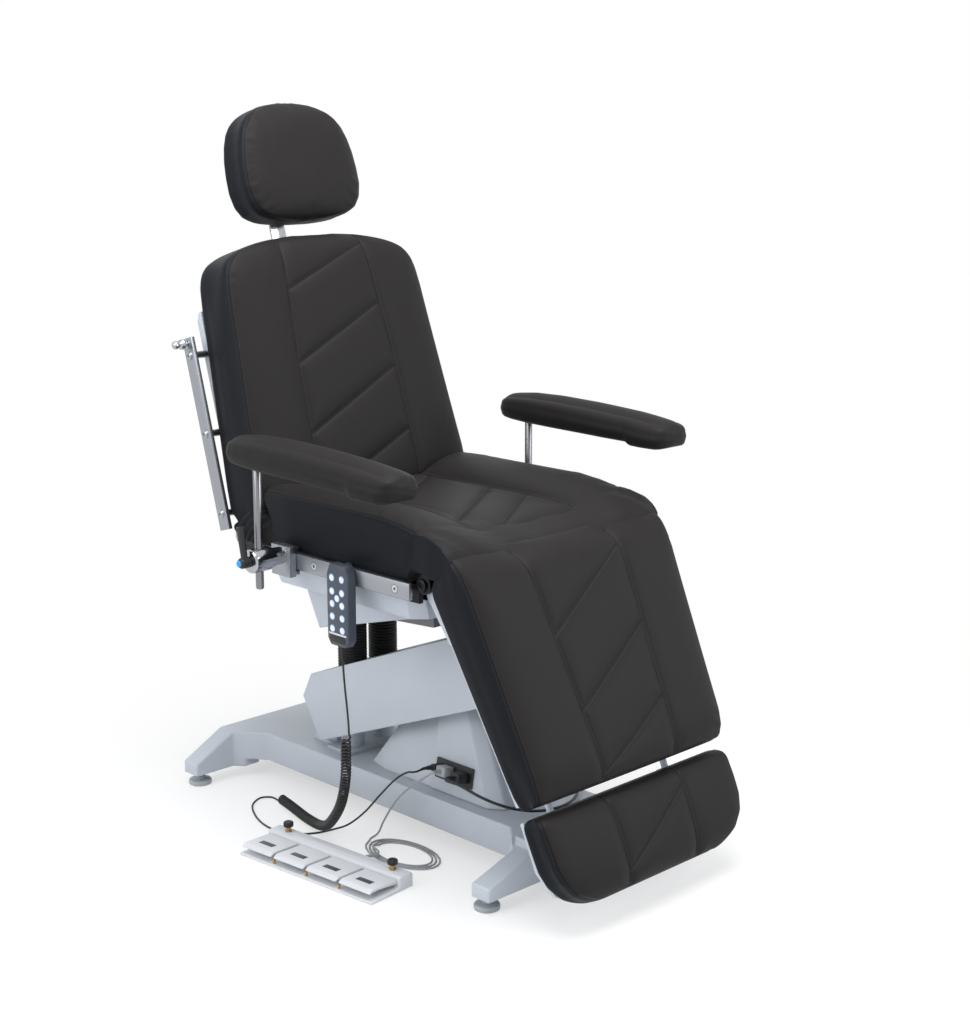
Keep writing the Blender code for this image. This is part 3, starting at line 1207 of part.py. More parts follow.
def footswitch_lead(material, face):
    """Cord from the tower to the footswitch, with a flat oval coil on the way."""
    radius = 0.0024
    plug = face @ Vector((-0.0465, 0.015, 0.002))
    lead = face @ Vector((-0.056, 0.015, 0.002))
    coil = spiral((-0.222, -0.062), 0.064, 0.045, 3.0, 24, 1.75, 100.0, 0.0032)
    end = coil[-1]
    gland = FRAMES["footswitch_axis"] @ Vector((SWITCH_DEPTH / 2.0 + 0.0133, -0.050, 0.018))
    before = FRAMES["footswitch_axis"] @ Vector((SWITCH_DEPTH / 2.0 + 0.025, -0.050, 0.018))
    tail = [end, end + Vector((-0.012, -0.002, 0.004)), end + Vector((-0.030, -0.012, 0.0105)),
            (-0.270, -0.030, 0.0115), (-0.295, -0.040, 0.012), before, gland]
    points = coil + smooth_path(tail, 0.012)[1:]
    report_gap("footswitch_coil", points, radius, 0.04)
    cord("footswitch_coil", points, radius, material, None, 1)
    first = coil[0]
    ahead = (coil[0] - coil[1]).normalized()
    run = [lead, (-0.182, -0.045, 0.152), (-0.190, 0.000, 0.105), (-0.190, 0.042, 0.045),
           (-0.192, 0.060, 0.010), first + ahead * 0.018 + Vector((0.0, 0.001, 0.0006))]
    run = [plug] + smooth_path(run, 0.013) + [first + ahead * 0.008, first + ahead * 0.0004]
    cord("footswitch_cord", run, radius, material)


def mains_lead(material, face):
    """Mains cord over the base to a round coil behind it, its plug lying on the coil."""
    radius = 0.0035
    plug_radius = 0.0155
    floor = 0.0042
    inner = 0.046
    plug = face @ Vector((-0.0545, -0.037, 0.0))
    lead = face @ Vector((-0.066, -0.037, 0.0))
    centre = Vector((0.262, -0.150, 0.0))
    coil = spiral(centre, 0.072, inner, 3.0, 24, 1.0, 270.0, floor)
    ahead = (coil[0] - coil[1]).normalized()
    run = [lead, (-0.165, -0.205, 0.172), (-0.130, -0.290, 0.156), (-0.060, -0.335, 0.137),
           (0.040, -0.340, 0.131), (0.110, -0.305, 0.134), (0.148, -0.265, 0.137),
           (0.172, -0.240, 0.100), (0.196, -0.228, 0.045), (0.222, -0.224, 0.008), coil[0] + ahead * 0.020]
    run = [plug] + smooth_path(run, 0.024) + [coil[0] + ahead * 0.010, coil[0] + ahead * 0.0004]
    cord("mains_cord", run, radius, material)
    climb = plug_radius + radius + 0.0004
    for i in range(1, 13):
        share = i / 12.0
        turn = math.radians(270.0 + 180.0 * share)
        size = inner - 0.016 * share
        height = floor + climb * share * share * (3.0 - 2.0 * share)
        coil.append(centre + Vector((size * math.cos(turn), size * math.sin(turn), height)))
    end = coil[-1] + Vector((-0.010, 0.0, 0.0))
    coil.append(end)
    report_gap("mains_coil", coil, radius, 0.05)
    cord("mains_coil", coil, radius, material, None, 1)
    profile = [(0.0055, end.x - GAP), (0.008, end.x - 0.010), (plug_radius, end.x - 0.016),
               (plug_radius, end.x - 0.030)]
    bm = bmesh.new()
    lathe(bm, profile, "X", (end.y, end.z), 16)
    solid("mains_plug", bm, material)


def main():
    clear_scene()
    painted = paint("grey_paint", (0.48, 0.53, 0.59), 0.4, 0.0)
    shell = paint("light_shell", (0.66, 0.69, 0.72), 0.4, 0.0)
    cover = paint("upholstery", (0.042, 0.041, 0.044), 0.5, 0.0)
    chrome = paint("chrome", (0.75, 0.76, 0.78), 0.1, 1.0)
    aluminium = paint("aluminium", (0.60, 0.61, 0.63), 0.3, 1.0)
    steel = paint("dark_steel", (0.20, 0.21, 0.22), 0.4, 1.0)
    black = paint("black_plastic", (0.012, 0.012, 0.013), 0.45, 0.0)
    rubber = paint("rubber", (0.02, 0.02, 0.02), 0.7, 0.0)
    grey = paint("grey_plastic", (0.33, 0.34, 0.35), 0.5, 0.0)

    base_cover(painted)
    number = 1
    for y in (BASE_FRONT + FOOT_INSET + 0.006, BASE_REAR - FOOT_INSET + 0.005):
        for x in (-BASE_HALF + FOOT_INSET, BASE_HALF - FOOT_INSET):
            levelling_foot("levelling_foot_%d" % number, x, y, grey)
            number += 1
    tower_cover(painted)
    face = socket_frame()
    socket_panel(black, grey, face)
    arm_pivot_stand(steel)
    outer_columns(steel)

    arm_axis = frame("arm_axis", (0.0, *ARM_AXIS), -ARM_ANGLE)
    lift_arm(steel, arm_axis)
    arm_cover(painted, arm_axis)
    arm_roller(black, arm_axis)

    lift_axis = frame("lift_axis", (0.0, COLUMN_Y, 0.0))
    carriage(steel, lift_axis)
    bellows("bellows_near", -1.0, rubber, lift_axis)
    bellows("bellows_far", 1.0, rubber, lift_axis)
    handset(shell, lift_axis)

    tilt_axis = frame("tilt_axis", (0.0, *TILT_AXIS), parent=lift_axis)
    seat_frame(steel, tilt_axis)
    seat_shroud(painted, tilt_axis)
    seat_cushion(cover, tilt_axis)
    start = KNEE_AXIS[0] + 0.009
    end = BACK_AXIS[0] - 0.145
    spacers = (start + 0.046, start + 0.316, end - 0.020)
    for label, side in (("near", -1.0), ("far", 1.0)):
        rail("seat_rail_" + label, side, start, end, RAIL_LOW, spacers, BAR_OUT + GAP,
             aluminium, tilt_axis, True)
        armrest(label, side, chrome, black, cover, tilt_axis)
    hinge_shaft("back_hinge_shaft", BACK_AXIS, steel, tilt_axis)
    hinge_shaft("knee_hinge_shaft", KNEE_AXIS, steel, tilt_axis)
    back_section(painted, cover, aluminium, chrome, tilt_axis)
    leg_section(painted, cover, tilt_axis)

    switch_axis = frame("footswitch_axis", (SWITCH_X, SWITCH_Y, 0.0), angle_z=SWITCH_TURN)
    footswitch(shell, black, switch_axis)
    handset_cord(black, FRAMES["socket_face"], lift_axis)
    footswitch_lead(grey, FRAMES["socket_face"])
    mains_lead(black, FRAMES["socket_face"])


main()
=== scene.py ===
"""Looks of a powered procedure table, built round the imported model."""
import math

import bmesh
import bpy
import numpy as np
from mathutils import Matrix, Vector, kdtree
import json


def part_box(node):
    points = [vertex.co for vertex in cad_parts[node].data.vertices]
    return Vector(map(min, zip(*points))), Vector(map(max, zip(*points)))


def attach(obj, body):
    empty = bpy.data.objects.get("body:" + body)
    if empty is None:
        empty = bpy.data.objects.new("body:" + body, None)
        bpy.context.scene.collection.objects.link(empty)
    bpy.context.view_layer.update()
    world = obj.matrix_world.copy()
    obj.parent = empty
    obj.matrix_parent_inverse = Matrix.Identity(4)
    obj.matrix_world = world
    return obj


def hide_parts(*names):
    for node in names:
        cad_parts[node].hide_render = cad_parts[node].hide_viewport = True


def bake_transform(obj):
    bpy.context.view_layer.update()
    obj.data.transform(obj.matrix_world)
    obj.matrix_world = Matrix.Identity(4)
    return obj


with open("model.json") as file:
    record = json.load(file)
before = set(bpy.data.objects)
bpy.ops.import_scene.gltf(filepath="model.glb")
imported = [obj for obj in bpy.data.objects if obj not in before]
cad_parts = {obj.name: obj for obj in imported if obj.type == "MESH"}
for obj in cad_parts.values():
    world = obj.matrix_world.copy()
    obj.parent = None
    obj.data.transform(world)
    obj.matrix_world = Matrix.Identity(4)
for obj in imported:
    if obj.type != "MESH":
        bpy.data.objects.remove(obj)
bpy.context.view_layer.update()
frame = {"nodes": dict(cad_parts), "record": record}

# Studio
# A seamless pale sweep, a large soft light overhead and one at each side, and the
# camera of the photograph: a long lens at standing height, turned to the front corner.
bpy.context.scene.view_settings.view_transform = "Standard"


def srgb(code):
    """Linear colour of an sRGB hex value."""
    parts = [int(code[i:i + 2], 16) / 255.0 for i in (1, 3, 5)]
    return tuple(p / 12.92 if p <= 0.04045 else ((p + 0.055) / 1.055) ** 2.4 for p in parts) + (1.0,)


def node(tree, kind, settings=None, inputs=None, links=None):
    """Add one shader node with its settings, its input values and the links that come into it."""
    made = tree.nodes.new("ShaderNode" + kind)
    for key, value in (settings or {}).items():
        setattr(made, key, value)
    for key, value in (inputs or {}).items():
        made.inputs[key].default_value = value
    for key, (source, output) in (links or {}).items():
        tree.links.new(source.outputs[output], made.inputs[key])
    return made


def placed(name, data):
    """New object in the scene with the given data."""
    made = bpy.data.objects.new(name, data)
    bpy.context.scene.collection.objects.link(made)
    return made


CAMERA_AT = Vector((-2.815, -2.952, 1.680))
CAMERA_YAW, CAMERA_PITCH = math.radians(44.684), math.radians(12.588)
look = Vector((math.cos(CAMERA_PITCH) * math.sin(CAMERA_YAW), math.cos(CAMERA_PITCH) * math.cos(CAMERA_YAW),
               -math.sin(CAMERA_PITCH)))
camera = placed("camera", bpy.data.cameras.new("camera"))
camera.data.lens = 62.993
camera.data.sensor_width = 36.0
camera.location = CAMERA_AT
camera.rotation_euler = look.to_track_quat("-Z", "Y").to_euler()
bpy.context.scene.camera = camera

for label, spot, target, size, power in (
        ("overhead", (-0.4, -0.6, 3.4), (0.0, 0.0, 0.5), 2.6, 100.0),
        ("front_left", (-3.0, 0.6, 2.2), (0.0, 0.0, 0.7), 2.0, 34.0),
        ("front_right", (1.6, -3.2, 1.9), (0.0, -0.2, 0.6), 2.0, 46.0)):
    lamp = placed("lamp_" + label, bpy.data.lights.new("lamp_" + label, "AREA"))
    lamp.data.shape = "DISK"
    lamp.data.size = size
    lamp.data.energy = power
    lamp.location = spot
    lamp.rotation_euler = (Vector(target) - Vector(spot)).to_track_quat("-Z", "Y").to_euler()

world = bpy.data.worlds.new("studio")
world.use_nodes = True
bpy.context.scene.world = world
tree = world.node_tree
tree.nodes.clear()
path = node(tree, "LightPath")
seen = node(tree, "Math", {"operation": "ADD"},
            links={0: (path, "Is Camera Ray"), 1: (path, "Is Glossy Ray")})
seen = node(tree, "Math", {"operation": "ADD", "use_clamp": True},
            links={0: (seen, 0), 1: (path, "Is Transmission Ray")})
strength = node(tree, "MapRange", inputs={"To Min": 0.62, "To Max": 1.0},
                links={"Value": (seen, 0)})
light = node(tree, "Background", inputs={"Color": srgb("#ffffff")},
             links={"Strength": (strength, 0)})
node(tree, "OutputWorld", links={"Surface": (light, 0)})

bm = bmesh.new()
bmesh.ops.create_grid(bm, x_segments=2, y_segments=2, size=30.0)
mesh = bpy.data.meshes.new("floor")
bm.to_mesh(mesh)
bm.free()
floor = placed("floor", mesh)
# Matt white vinyl sweep: takes the soft shadow near the table and runs to white away from it.
floor_paint = bpy.data.materials.new("matt_white_vinyl")
floor_paint.use_nodes = True
tree = floor_paint.node_tree
shader = tree.nodes["Principled BSDF"]
shader.inputs["Base Color"].default_value = srgb("#f4f5f6")
shader.inputs["Roughness"].default_value = 0.7
shader.inputs["Specular IOR Level"].default_value = 0.2
where = node(tree, "TexCoord")
away = node(tree, "VectorMath", {"operation": "LENGTH"}, links={0: (where, "Object")})
share = node(tree, "MapRange", {"interpolation_type": "SMOOTHSTEP"},
             {"From Min": 0.55, "From Max": 1.9, "To Min": 0.55, "To Max": 1.0}, {"Value": (away, "Value")})
path = node(tree, "LightPath")
seen = node(tree, "Math", {"operation": "ADD", "use_clamp": True},
            links={0: (path, "Is Camera Ray"), 1: (path, "Is Glossy Ray")})
share = node(tree, "Math", {"operation": "MULTIPLY"}, links={0: (share, 0), 1: (seen, 0)})
glow = node(tree, "Emission", inputs={"Color": srgb("#ffffff"), "Strength": 1.0})
mixed = node(tree, "MixShader", links={0: (share, 0), 1: (shader, 0), 2: (glow, 0)})
tree.links.new(mixed.outputs[0], tree.nodes["Material Output"].inputs["Surface"])
floor.data.materials.append(floor_paint)


# Base cover
# Pressed steel cover with four splayed legs, welded corners ground smooth and a coat of
# satin grey powder paint.
SHARP_ANGLE, DRIFT_MM = math.radians(28.0), 110.0
home = {name: body for body, names in frame["record"]["behaviour"]["bodies"].items() for name in names}


def surface(name, colour, tint, gloss, grain_mm, relief_mm, metallic=0.0, ior=1.5):
    """Finish with a fine grain in its relief and gloss, and a slow drift of colour over the piece."""
    made = bpy.data.materials.new(name)
    made.use_nodes = True
    tree = made.node_tree
    shader = tree.nodes["Principled BSDF"]
    shader.inputs["Metallic"].default_value = metallic
    shader.inputs["IOR"].default_value = ior
    where = node(tree, "TexCoord")
    grain = node(tree, "TexNoise", inputs={"Scale": 1000.0 / grain_mm, "Detail": 2.0},
                 links={"Vector": (where, "Object")})
    drift = node(tree, "TexNoise", inputs={"Scale": 1000.0 / DRIFT_MM, "Detail": 3.0},
                 links={"Vector": (where, "Object")})
    both = node(tree, "Mix", {"data_type": "RGBA"}, {6: srgb(colour), 7: srgb(tint)},
                {0: (drift, 0)})
    rough = node(tree, "MapRange", inputs={"To Min": gloss[0], "To Max": gloss[1]},
                 links={"Value": (grain, 0)})
    bump = node(tree, "Bump", inputs={"Strength": 0.6, "Distance": relief_mm / 1000.0},
                links={"Height": (grain, 0)})
    tree.links.new(both.outputs[2], shader.inputs["Base Color"])
    tree.links.new(rough.outputs[0], shader.inputs["Roughness"])
    tree.links.new(bump.outputs[0], shader.inputs["Normal"])
    return made


def finished(name, bm, material, body, replaced=(), smooth=32.0):
    """New piece from a bmesh, smooth but for its sharp edges, riding on a body."""
    bmesh.ops.remove_doubles(bm, verts=bm.verts[:], dist=1e-6)
    bmesh.ops.recalc_face_normals(bm, faces=bm.faces[:])
    limit = math.radians(smooth)
    for face in bm.faces:
        face.smooth = True
    for edge in bm.edges:
        edge.smooth = len(edge.link_faces) == 2 and edge.calc_face_angle(0.0) < limit
    mesh = bpy.data.meshes.new(name)
    bm.to_mesh(mesh)
    bm.free()
    obj = placed(name, mesh)
    mesh.materials.append(material)
    if replaced:
        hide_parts(*replaced)
    if body:
        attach(obj, body)
    return obj


def softened(name, material, width=0.0010, segments=2):
    """Stand-in for a rigid CAD node: the same faces with their sharp edges rounded."""
    bm = bmesh.new()
    bm.from_mesh(frame["nodes"][name].data)
    bmesh.ops.remove_doubles(bm, verts=bm.verts[:], dist=1e-5)
    bmesh.ops.dissolve_limit(bm, angle_limit=math.radians(1.0), verts=bm.verts[:], edges=bm.edges[:])
    sharp = [e for e in bm.edges if len(e.link_faces) == 2 and e.calc_face_angle(0.0) > SHARP_ANGLE]
    if width:
        bmesh.ops.bevel(bm, geom=sharp, offset=width, offset_type="OFFSET", segments=segments, profile=0.5,
                        affect="EDGES", clamp_overlap=False, material=-1)
    return finished(name + "_finished", bm, material, home[name], (name,))


# Powder coat: satin, with a faint orange peel. The peel is about 1.5 mm across.
painted_steel = surface("powder_coated_steel", "#b3bac4", "#bbc2cb", (0.36, 0.48), 1.5, 0.03)
softened("base_cover", painted_steel, 0.0022, 3)

# Levelling feet
# Four turned feet of moulded plastic, each a broad pad and a collar with a stem that screws
# up into the base.
# Moulded ABS: an even grey, satin, with a very fine texture.
grey_abs = surface("grey_moulded_abs", "#9da2a8", "#a6abb1", (0.42, 0.56), 1.2, 0.05)


def spun(bm, profile, place, steps):
    """Turn a profile of (radius, height) points about Z and put it in place."""
    before = set(bm.verts)
    verts = [bm.verts.new((radius, 0.0, height)) for radius, height in profile]
    edges = [bm.edges.new(pair) for pair in zip(verts, verts[1:])]
    bmesh.ops.spin(bm, geom=verts + edges, cent=(0.0, 0.0, 0.0), axis=(0.0, 0.0, 1.0), dvec=(0.0, 0.0, 0.0),
                   angle=2.0 * math.pi, steps=steps, use_merge=True, use_duplicate=False)
    bmesh.ops.transform(bm, matrix=place, verts=[v for v in bm.verts if v not in before])


def turned(name, profile, place, steps, material, body, replaced=(), smooth=32.0):
    """Piece of one profile turned about the place's Z."""
    bm = bmesh.new()
    spun(bm, profile, place, steps)
    return finished(name, bm, material, body, replaced, smooth)


for i in range(1, 5):
    name = "levelling_foot_%d" % i
    low, high = (Vector(corner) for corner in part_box(name))
    middle = Matrix.Translation(((low.x + high.x) / 2.0, (low.y + high.y) / 2.0, 0.0))
    turned(name + "_finished",
           [(0.0, 0.0), (0.0265, 0.0), (0.0285, 0.0012), (0.0290, 0.004), (0.0290, 0.0095), (0.0275, 0.0118),
            (0.0200, 0.0140), (0.0125, 0.0152), (0.0125, 0.0195), (0.0085, 0.0200), (0.0085, high.z),
            (0.0, high.z)],
           middle, 48, grey_abs, "base", (name,))

# Tower cover
# Folded steel cover over the electrics in front of the columns, with a sloping top and
# sides that lean in, powder coated like the base.
softened("tower_cover", painted_steel, 0.0028, 3)

# Sockets and plugs
# A black moulded panel let into the tower's near side, with the handset's round plug, the
# footswitch's hooded connector and the mains connector pushed into it.
# Moulded nylon: near black, with a soft satin gleam.
black_nylon = surface("black_moulded_nylon", "#151618", "#1b1c1e", (0.38, 0.52), 1.2, 0.05)
softened("socket_panel", black_nylon, 0.0008)
softened("handset_plug", black_nylon, 0.0008)
softened("footswitch_plug", grey_abs)
softened("mains_connector", black_nylon, 0.0012)
SOCKET_AT, SOCKET_LEAN = (-0.1014, -0.110, 0.182), math.radians(10.587)
socket = Matrix.Translation(SOCKET_AT) @ Matrix.Rotation(SOCKET_LEAN, 4, "Y")

# Columns and stand
# Two steel tubes bolted to the base guide the lift; the welded stand beside them carries
# the pivot of the lifting arm.
softened("arm_pivot_stand", painted_steel)
softened("outer_columns", painted_steel, 0.0)

# Lifting arm
# A pair of steel bars that swing up from the stand, under a folded and painted cover, with
# a nylon roller at the end that runs in the carriage's track.
# Painted structural steel: mid grey and half matt, with a slight peel.
dark_steel = surface("painted_structural_steel", "#6f7276", "#7a7d80", (0.40, 0.55), 1.4, 0.04)
softened("lift_arm", dark_steel)
softened("arm_cover", painted_steel, 0.0020, 3)
softened("arm_roller", black_nylon)

# Carriage
# Welded steel box that slides on the columns and carries the seat's tilting frame.
softened("lift_carriage", dark_steel, 0.0012)

# Bellows
# Pleated rubber sleeves round the two columns, clipped at the base end and to the underside
# of the carriage, built at their length at rest.
COLUMN_X, COLUMN_Y = 0.050, 0.311
BELLOWS_LOW, BELLOWS_HIGH, BELLOWS_RIBS = 0.300, 0.4847, 24
BELLOWS_BORE, BELLOWS_GROOVE, BELLOWS_FLANK, BELLOWS_RIDGE = 0.0298, 0.0318, 0.0352, 0.0366
# Moulded rubber: near black and dull, with a slight grain.
rubber = surface("moulded_rubber", "#1d1e1f", "#242526", (0.58, 0.75), 1.8, 0.08)
pitch = (BELLOWS_HIGH - BELLOWS_LOW) / BELLOWS_RIBS
profile = []
for i in range(BELLOWS_RIBS):
    low = BELLOWS_LOW + pitch * i
    for radius, rise in ((BELLOWS_GROOVE, 0.0), (BELLOWS_GROOVE, 0.12), (BELLOWS_FLANK, 0.36),
                         (BELLOWS_RIDGE, 0.46), (BELLOWS_RIDGE, 0.54), (BELLOWS_FLANK, 0.64),
                         (BELLOWS_GROOVE, 0.88)):
        profile.append((radius, low + rise * pitch))
profile += [(BELLOWS_GROOVE, BELLOWS_HIGH), (BELLOWS_BORE, BELLOWS_HIGH), (BELLOWS_BORE, BELLOWS_LOW),
            (BELLOWS_GROOVE, BELLOWS_LOW)]
for label, x in (("near", -COLUMN_X), ("far", COLUMN_X)):
    sleeve = turned("bellows_%s_pleated" % label, profile, Matrix.Translation((x, COLUMN_Y, 0.0)), 40, rubber,
                    None, ("bellows_" + label,), 50.0)
    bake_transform(sleeve)

# Seat frame and shroud
# Welded steel frame that tilts on the carriage, with turned hinge shafts at the knee and the
# back, and a moulded shroud screwed under it to hide the mechanism.
# Zinc plate: bright, slightly grey metal with soft reflections.
zinc_steel = surface("zinc_plated_steel", "#b2b5b8", "#a6a9ac", (0.24, 0.38), 0.9, 0.01, 1.0)
softened("back_hinge_shaft", zinc_steel, 0.0008)
# Steel made nearly black as painted shade, with a dull metal gleam, so that what shows of the seat frame past
# the cushions reads as the shade under the seat; the knee shaft shares it.
shade_dark_steel = surface("shade_dark_steel", "#1d1e21", "#25262a", (0.34, 0.48), 1.2, 0.03, 0.7)
softened("knee_hinge_shaft", shade_dark_steel, 0.0008)
softened("seat_frame", shade_dark_steel, 0.0012)
# Moulded ABS: even and satin, with the fine spark texture of its tool.
shroud_abs = surface("spark_textured_abs", "#aeb5c0", "#b6bdc7", (0.42, 0.55), 1.2, 0.05)
softened("seat_shroud", shroud_abs, 0.0020, 3)

# Accessory rails
# Flat aluminium bars on round spacers along the seat and the back, each held by three socket
# screws: flat heads on the seat, where the clamps slide, and button heads on the back.
# Polished steel for the heads, a dark steel as painted shade in the countersinks and the
# hexagon sockets, and anodised aluminium with a soft, even sheen.
bright_steel = surface("polished_steel", "#d3d6da", "#cbced2", (0.22, 0.34), 0.8, 0.01, 1.0)
sink_shade_steel = surface("countersink_painted_shade", "#4c4f54", "#565a5f", (0.40, 0.55), 0.8, 0.02, 0.8)
anodised = surface("satin_anodised_aluminium", "#a6aab0", "#9da1a7", (0.30, 0.44), 0.8, 0.015, 1.0)
HINGE_Z, BACK_Y, BACK_ANGLE = 0.700, 0.390, math.radians(74.0)
RAIL_FACE, RAIL_Z, BACK_RAIL_N = 0.3555, 0.6875, -0.0135
SEAT_BOLTS, BACK_BOLTS = (-0.190, 0.080, 0.225), (0.060, 0.2515, 0.440)
back_frame = Matrix.Translation((0.0, BACK_Y, HINGE_Z)) @ Matrix.Rotation(BACK_ANGLE, 4, "X")


def bolt_head(bm, place):
    """Button head with a hexagon socket, on a washer, looking along the place's Z."""
    spun(bm, [(0.0, -0.0005), (0.0100, -0.0005), (0.0103, 0.0004), (0.0100, 0.0012), (0.0080, 0.0012),
              (0.0078, 0.0022), (0.0062, 0.0038), (0.0044, 0.0044)], place, 24)
    spun(bm, [(0.0044, 0.0044), (0.0036, 0.0042), (0.0036, 0.0018), (0.0, 0.0018)], place, 6)


def flat_head(heads, sink_shade, place):
    """Flat head in a countersink, low enough for a clamp to slide over it; its hexagon socket and the gap of
    the countersink round it are flat dark discs of painted shade.
    """
    spun(sink_shade, [(0.0, -0.0006), (0.0100, -0.0006), (0.0100, -0.00036), (0.0, -0.00036)], place, 28)
    spun(heads, [(0.0, -0.0006), (0.0088, -0.0006), (0.0088, -0.00034), (0.0085, -0.00029), (0.0, -0.00029)],
         place, 28)
    spun(sink_shade, [(0.0, -0.0006), (0.0036, -0.0006), (0.0036, -0.00024), (0.0, -0.00024)], place, 6)


for label, side in (("near", -1.0), ("far", 1.0)):
    outward = Matrix.Translation((side * RAIL_FACE, 0.0, 0.0)) @ Matrix.Rotation(side * math.pi / 2.0, 4, "Y")
    softened("seat_rail_" + label, anodised, 0.0012)
    heads, sink_shade = bmesh.new(), bmesh.new()
    for y in SEAT_BOLTS:
        flat_head(heads, sink_shade, Matrix.Translation((0.0, y, RAIL_Z)) @ outward)
    finished("seat_rail_bolts_" + label, heads, bright_steel, "seat")
    # Painted shade: the dark discs in the countersinks and sockets.
    finished("seat_rail_sink_shade_" + label, sink_shade, sink_shade_steel, "seat")
    softened("back_rail_" + label, anodised, 0.0012)
    bm = bmesh.new()
    for u in BACK_BOLTS:
        bolt_head(bm, back_frame @ Matrix.Translation((0.0, u, BACK_RAIL_N)) @ outward)
    finished("back_rail_bolts_" + label, bm, zinc_steel, "back")

# Seat cushion
# Moulded foam on the frame, raised into a bolster along each side, under a sewn cover of
# black coated fabric: a quilted middle panel, bolsters and a boxed border.
# Coated fabric: dark and satin, with a fine pebbled grain, painted shade in the seams and a line
# of stitches on each side of them; the boxed sides are painted a bluish black as shade. Grain and stitches
# are drawn coarser than the real ones, 3 mm and 8 mm instead of 1 mm and 4 mm, so that they show.
GRAIN_MM, STITCH_MM, CLOTH_DRIFT_MM = 3.0, 8.0, 70.0
coated_fabric = bpy.data.materials.new("coated_upholstery_fabric")
coated_fabric.use_nodes = True
tree = coated_fabric.node_tree
shader = tree.nodes["Principled BSDF"]
shader.inputs["IOR"].default_value = 1.46
shader.inputs["Specular IOR Level"].default_value = 0.16
shader.inputs["Sheen Weight"].default_value = 0.02
shader.inputs["Sheen Roughness"].default_value = 0.5
where = node(tree, "TexCoord")
pebble = node(tree, "TexVoronoi", {"feature": "SMOOTH_F1"}, {"Scale": 1000.0 / GRAIN_MM},
              {"Vector": (where, "Object")})
drift = node(tree, "TexNoise", inputs={"Scale": 1000.0 / CLOTH_DRIFT_MM, "Detail": 4.0},
             links={"Vector": (where, "Object")})
seam = node(tree, "Attribute", {"attribute_name": "seam"})
run = node(tree, "Attribute", {"attribute_name": "run"})
side_shade = node(tree, "Attribute", {"attribute_name": "side_shade"})
cloth = node(tree, "Mix", {"data_type": "RGBA"}, {6: srgb("#181617"), 7: srgb("#1e1c1d")},
             {0: (drift, 0)})
# Painted shade in the seams: near black in the groove, fading out about 3 mm from it.
seam_shade = node(tree, "MapRange", {"interpolation_type": "SMOOTHSTEP"},
             {"From Min": 0.0005, "From Max": 0.0030, "To Min": 0.80, "To Max": 0.0},
             {"Value": (seam, "Fac")})
beside = node(tree, "Math", {"operation": "SUBTRACT"}, {1: 0.0052}, {0: (seam, "Fac")})
beside = node(tree, "Math", {"operation": "ABSOLUTE"}, links={0: (beside, 0)})
beside = node(tree, "Math", {"operation": "LESS_THAN"}, {1: 0.0007}, {0: (beside, 0)})
dash = node(tree, "Math", {"operation": "MULTIPLY"}, {1: 1000.0 / STITCH_MM}, {0: (run, "Fac")})
dash = node(tree, "Math", {"operation": "FRACT"}, links={0: (dash, 0)})
dash = node(tree, "Math", {"operation": "LESS_THAN"}, {1: 0.62}, {0: (dash, 0)})
stitch = node(tree, "Math", {"operation": "MULTIPLY"}, links={0: (beside, 0), 1: (dash, 0)})
# Painted shade: a bluish black over the boxed side faces and near black in the seams; then the lighter thread
# of the stitches.
for tint, where_it_lies in (("#0d1117", (side_shade, "Fac")), ("#070707", (seam_shade, 0)), ("#2b292a", (stitch, 0))):
    cloth = node(tree, "Mix", {"data_type": "RGBA"}, {7: srgb(tint)}, {0: where_it_lies, 6: (cloth, 2)})
tree.links.new(cloth.outputs[2], shader.inputs["Base Color"])
rough = node(tree, "MapRange", inputs={"To Min": 0.50, "To Max": 0.62}, links={"Value": (drift, 0)})
tree.links.new(rough.outputs[0], shader.inputs["Roughness"])
raised = node(tree, "Math", {"operation": "MULTIPLY_ADD"}, {1: 0.8},
              {0: (stitch, 0), 2: (pebble, 0)})
bump = node(tree, "Bump", inputs={"Strength": 0.35, "Distance": 0.0006},
            links={"Height": (raised, 0)})
tree.links.new(bump.outputs[0], shader.inputs["Normal"])

# Steps round half a pad's section: underside, lower corner, side, shoulder and top.
PAD_FLAT, PAD_TOE, PAD_SIDE, PAD_SHOULDER = 30, 3, 7, 6
PAD_STEPS = 2 * PAD_FLAT + PAD_TOE + PAD_SIDE + PAD_SHOULDER
PAD_EDGE = PAD_FLAT + PAD_TOE + PAD_SIDE + PAD_SHOULDER // 2
# A dished top is flat to this far from the middle and rises over this width to the bolsters.
DISH_FLAT, DISH_SLOPE = 0.11, 0.17
# The seat's rear end leans with the back, about this height and over this stretch.
LEAN_HEIGHT, LEAN_FROM, LEAN_OVER = 0.80, 0.05, 0.22
# Near its ends a pad has a row at every station, but none closer than the row gap.
END_ZONE, ROW_GAP = 0.035, 0.0022
# Seams: the points' spacing, the depth, the widths of the stitched groove and of the dip
# round it, how far the cloth is held beside them, and what counts as far from any seam.
SEAM_STEP, SEAM_DEPTH, SEAM_GROOVE, SEAM_DIP, SEAM_HOLD, SEAM_FAR = 0.002, 0.0042, 0.0050, 0.020, 0.0055, 0.05
# The cover's simulation.
PRESSURE, STIFFNESS, SETTLE_FRAMES = 4.0, 25.0, 20


def smooth_step(value):
    """Ease from 0 to 1, held at both ends."""
    value = max(0.0, min(1.0, value))
    return value * value * (3.0 - 2.0 * value)


def running(points):
    """Length along a line of points, at each of them."""
    runs = [0.0]
    for p, q in zip(points, points[1:]):
        runs.append(runs[-1] + (q - p).length)
    return runs


def point_at(points, runs, target):
    """Point at a given length along a line of points with these running lengths."""
    k = min(max(int(np.searchsorted(runs, target)) - 1, 0), len(runs) - 2)
    return points[k].lerp(points[k + 1], (target - runs[k]) / max(runs[k + 1] - runs[k], 1e-9))


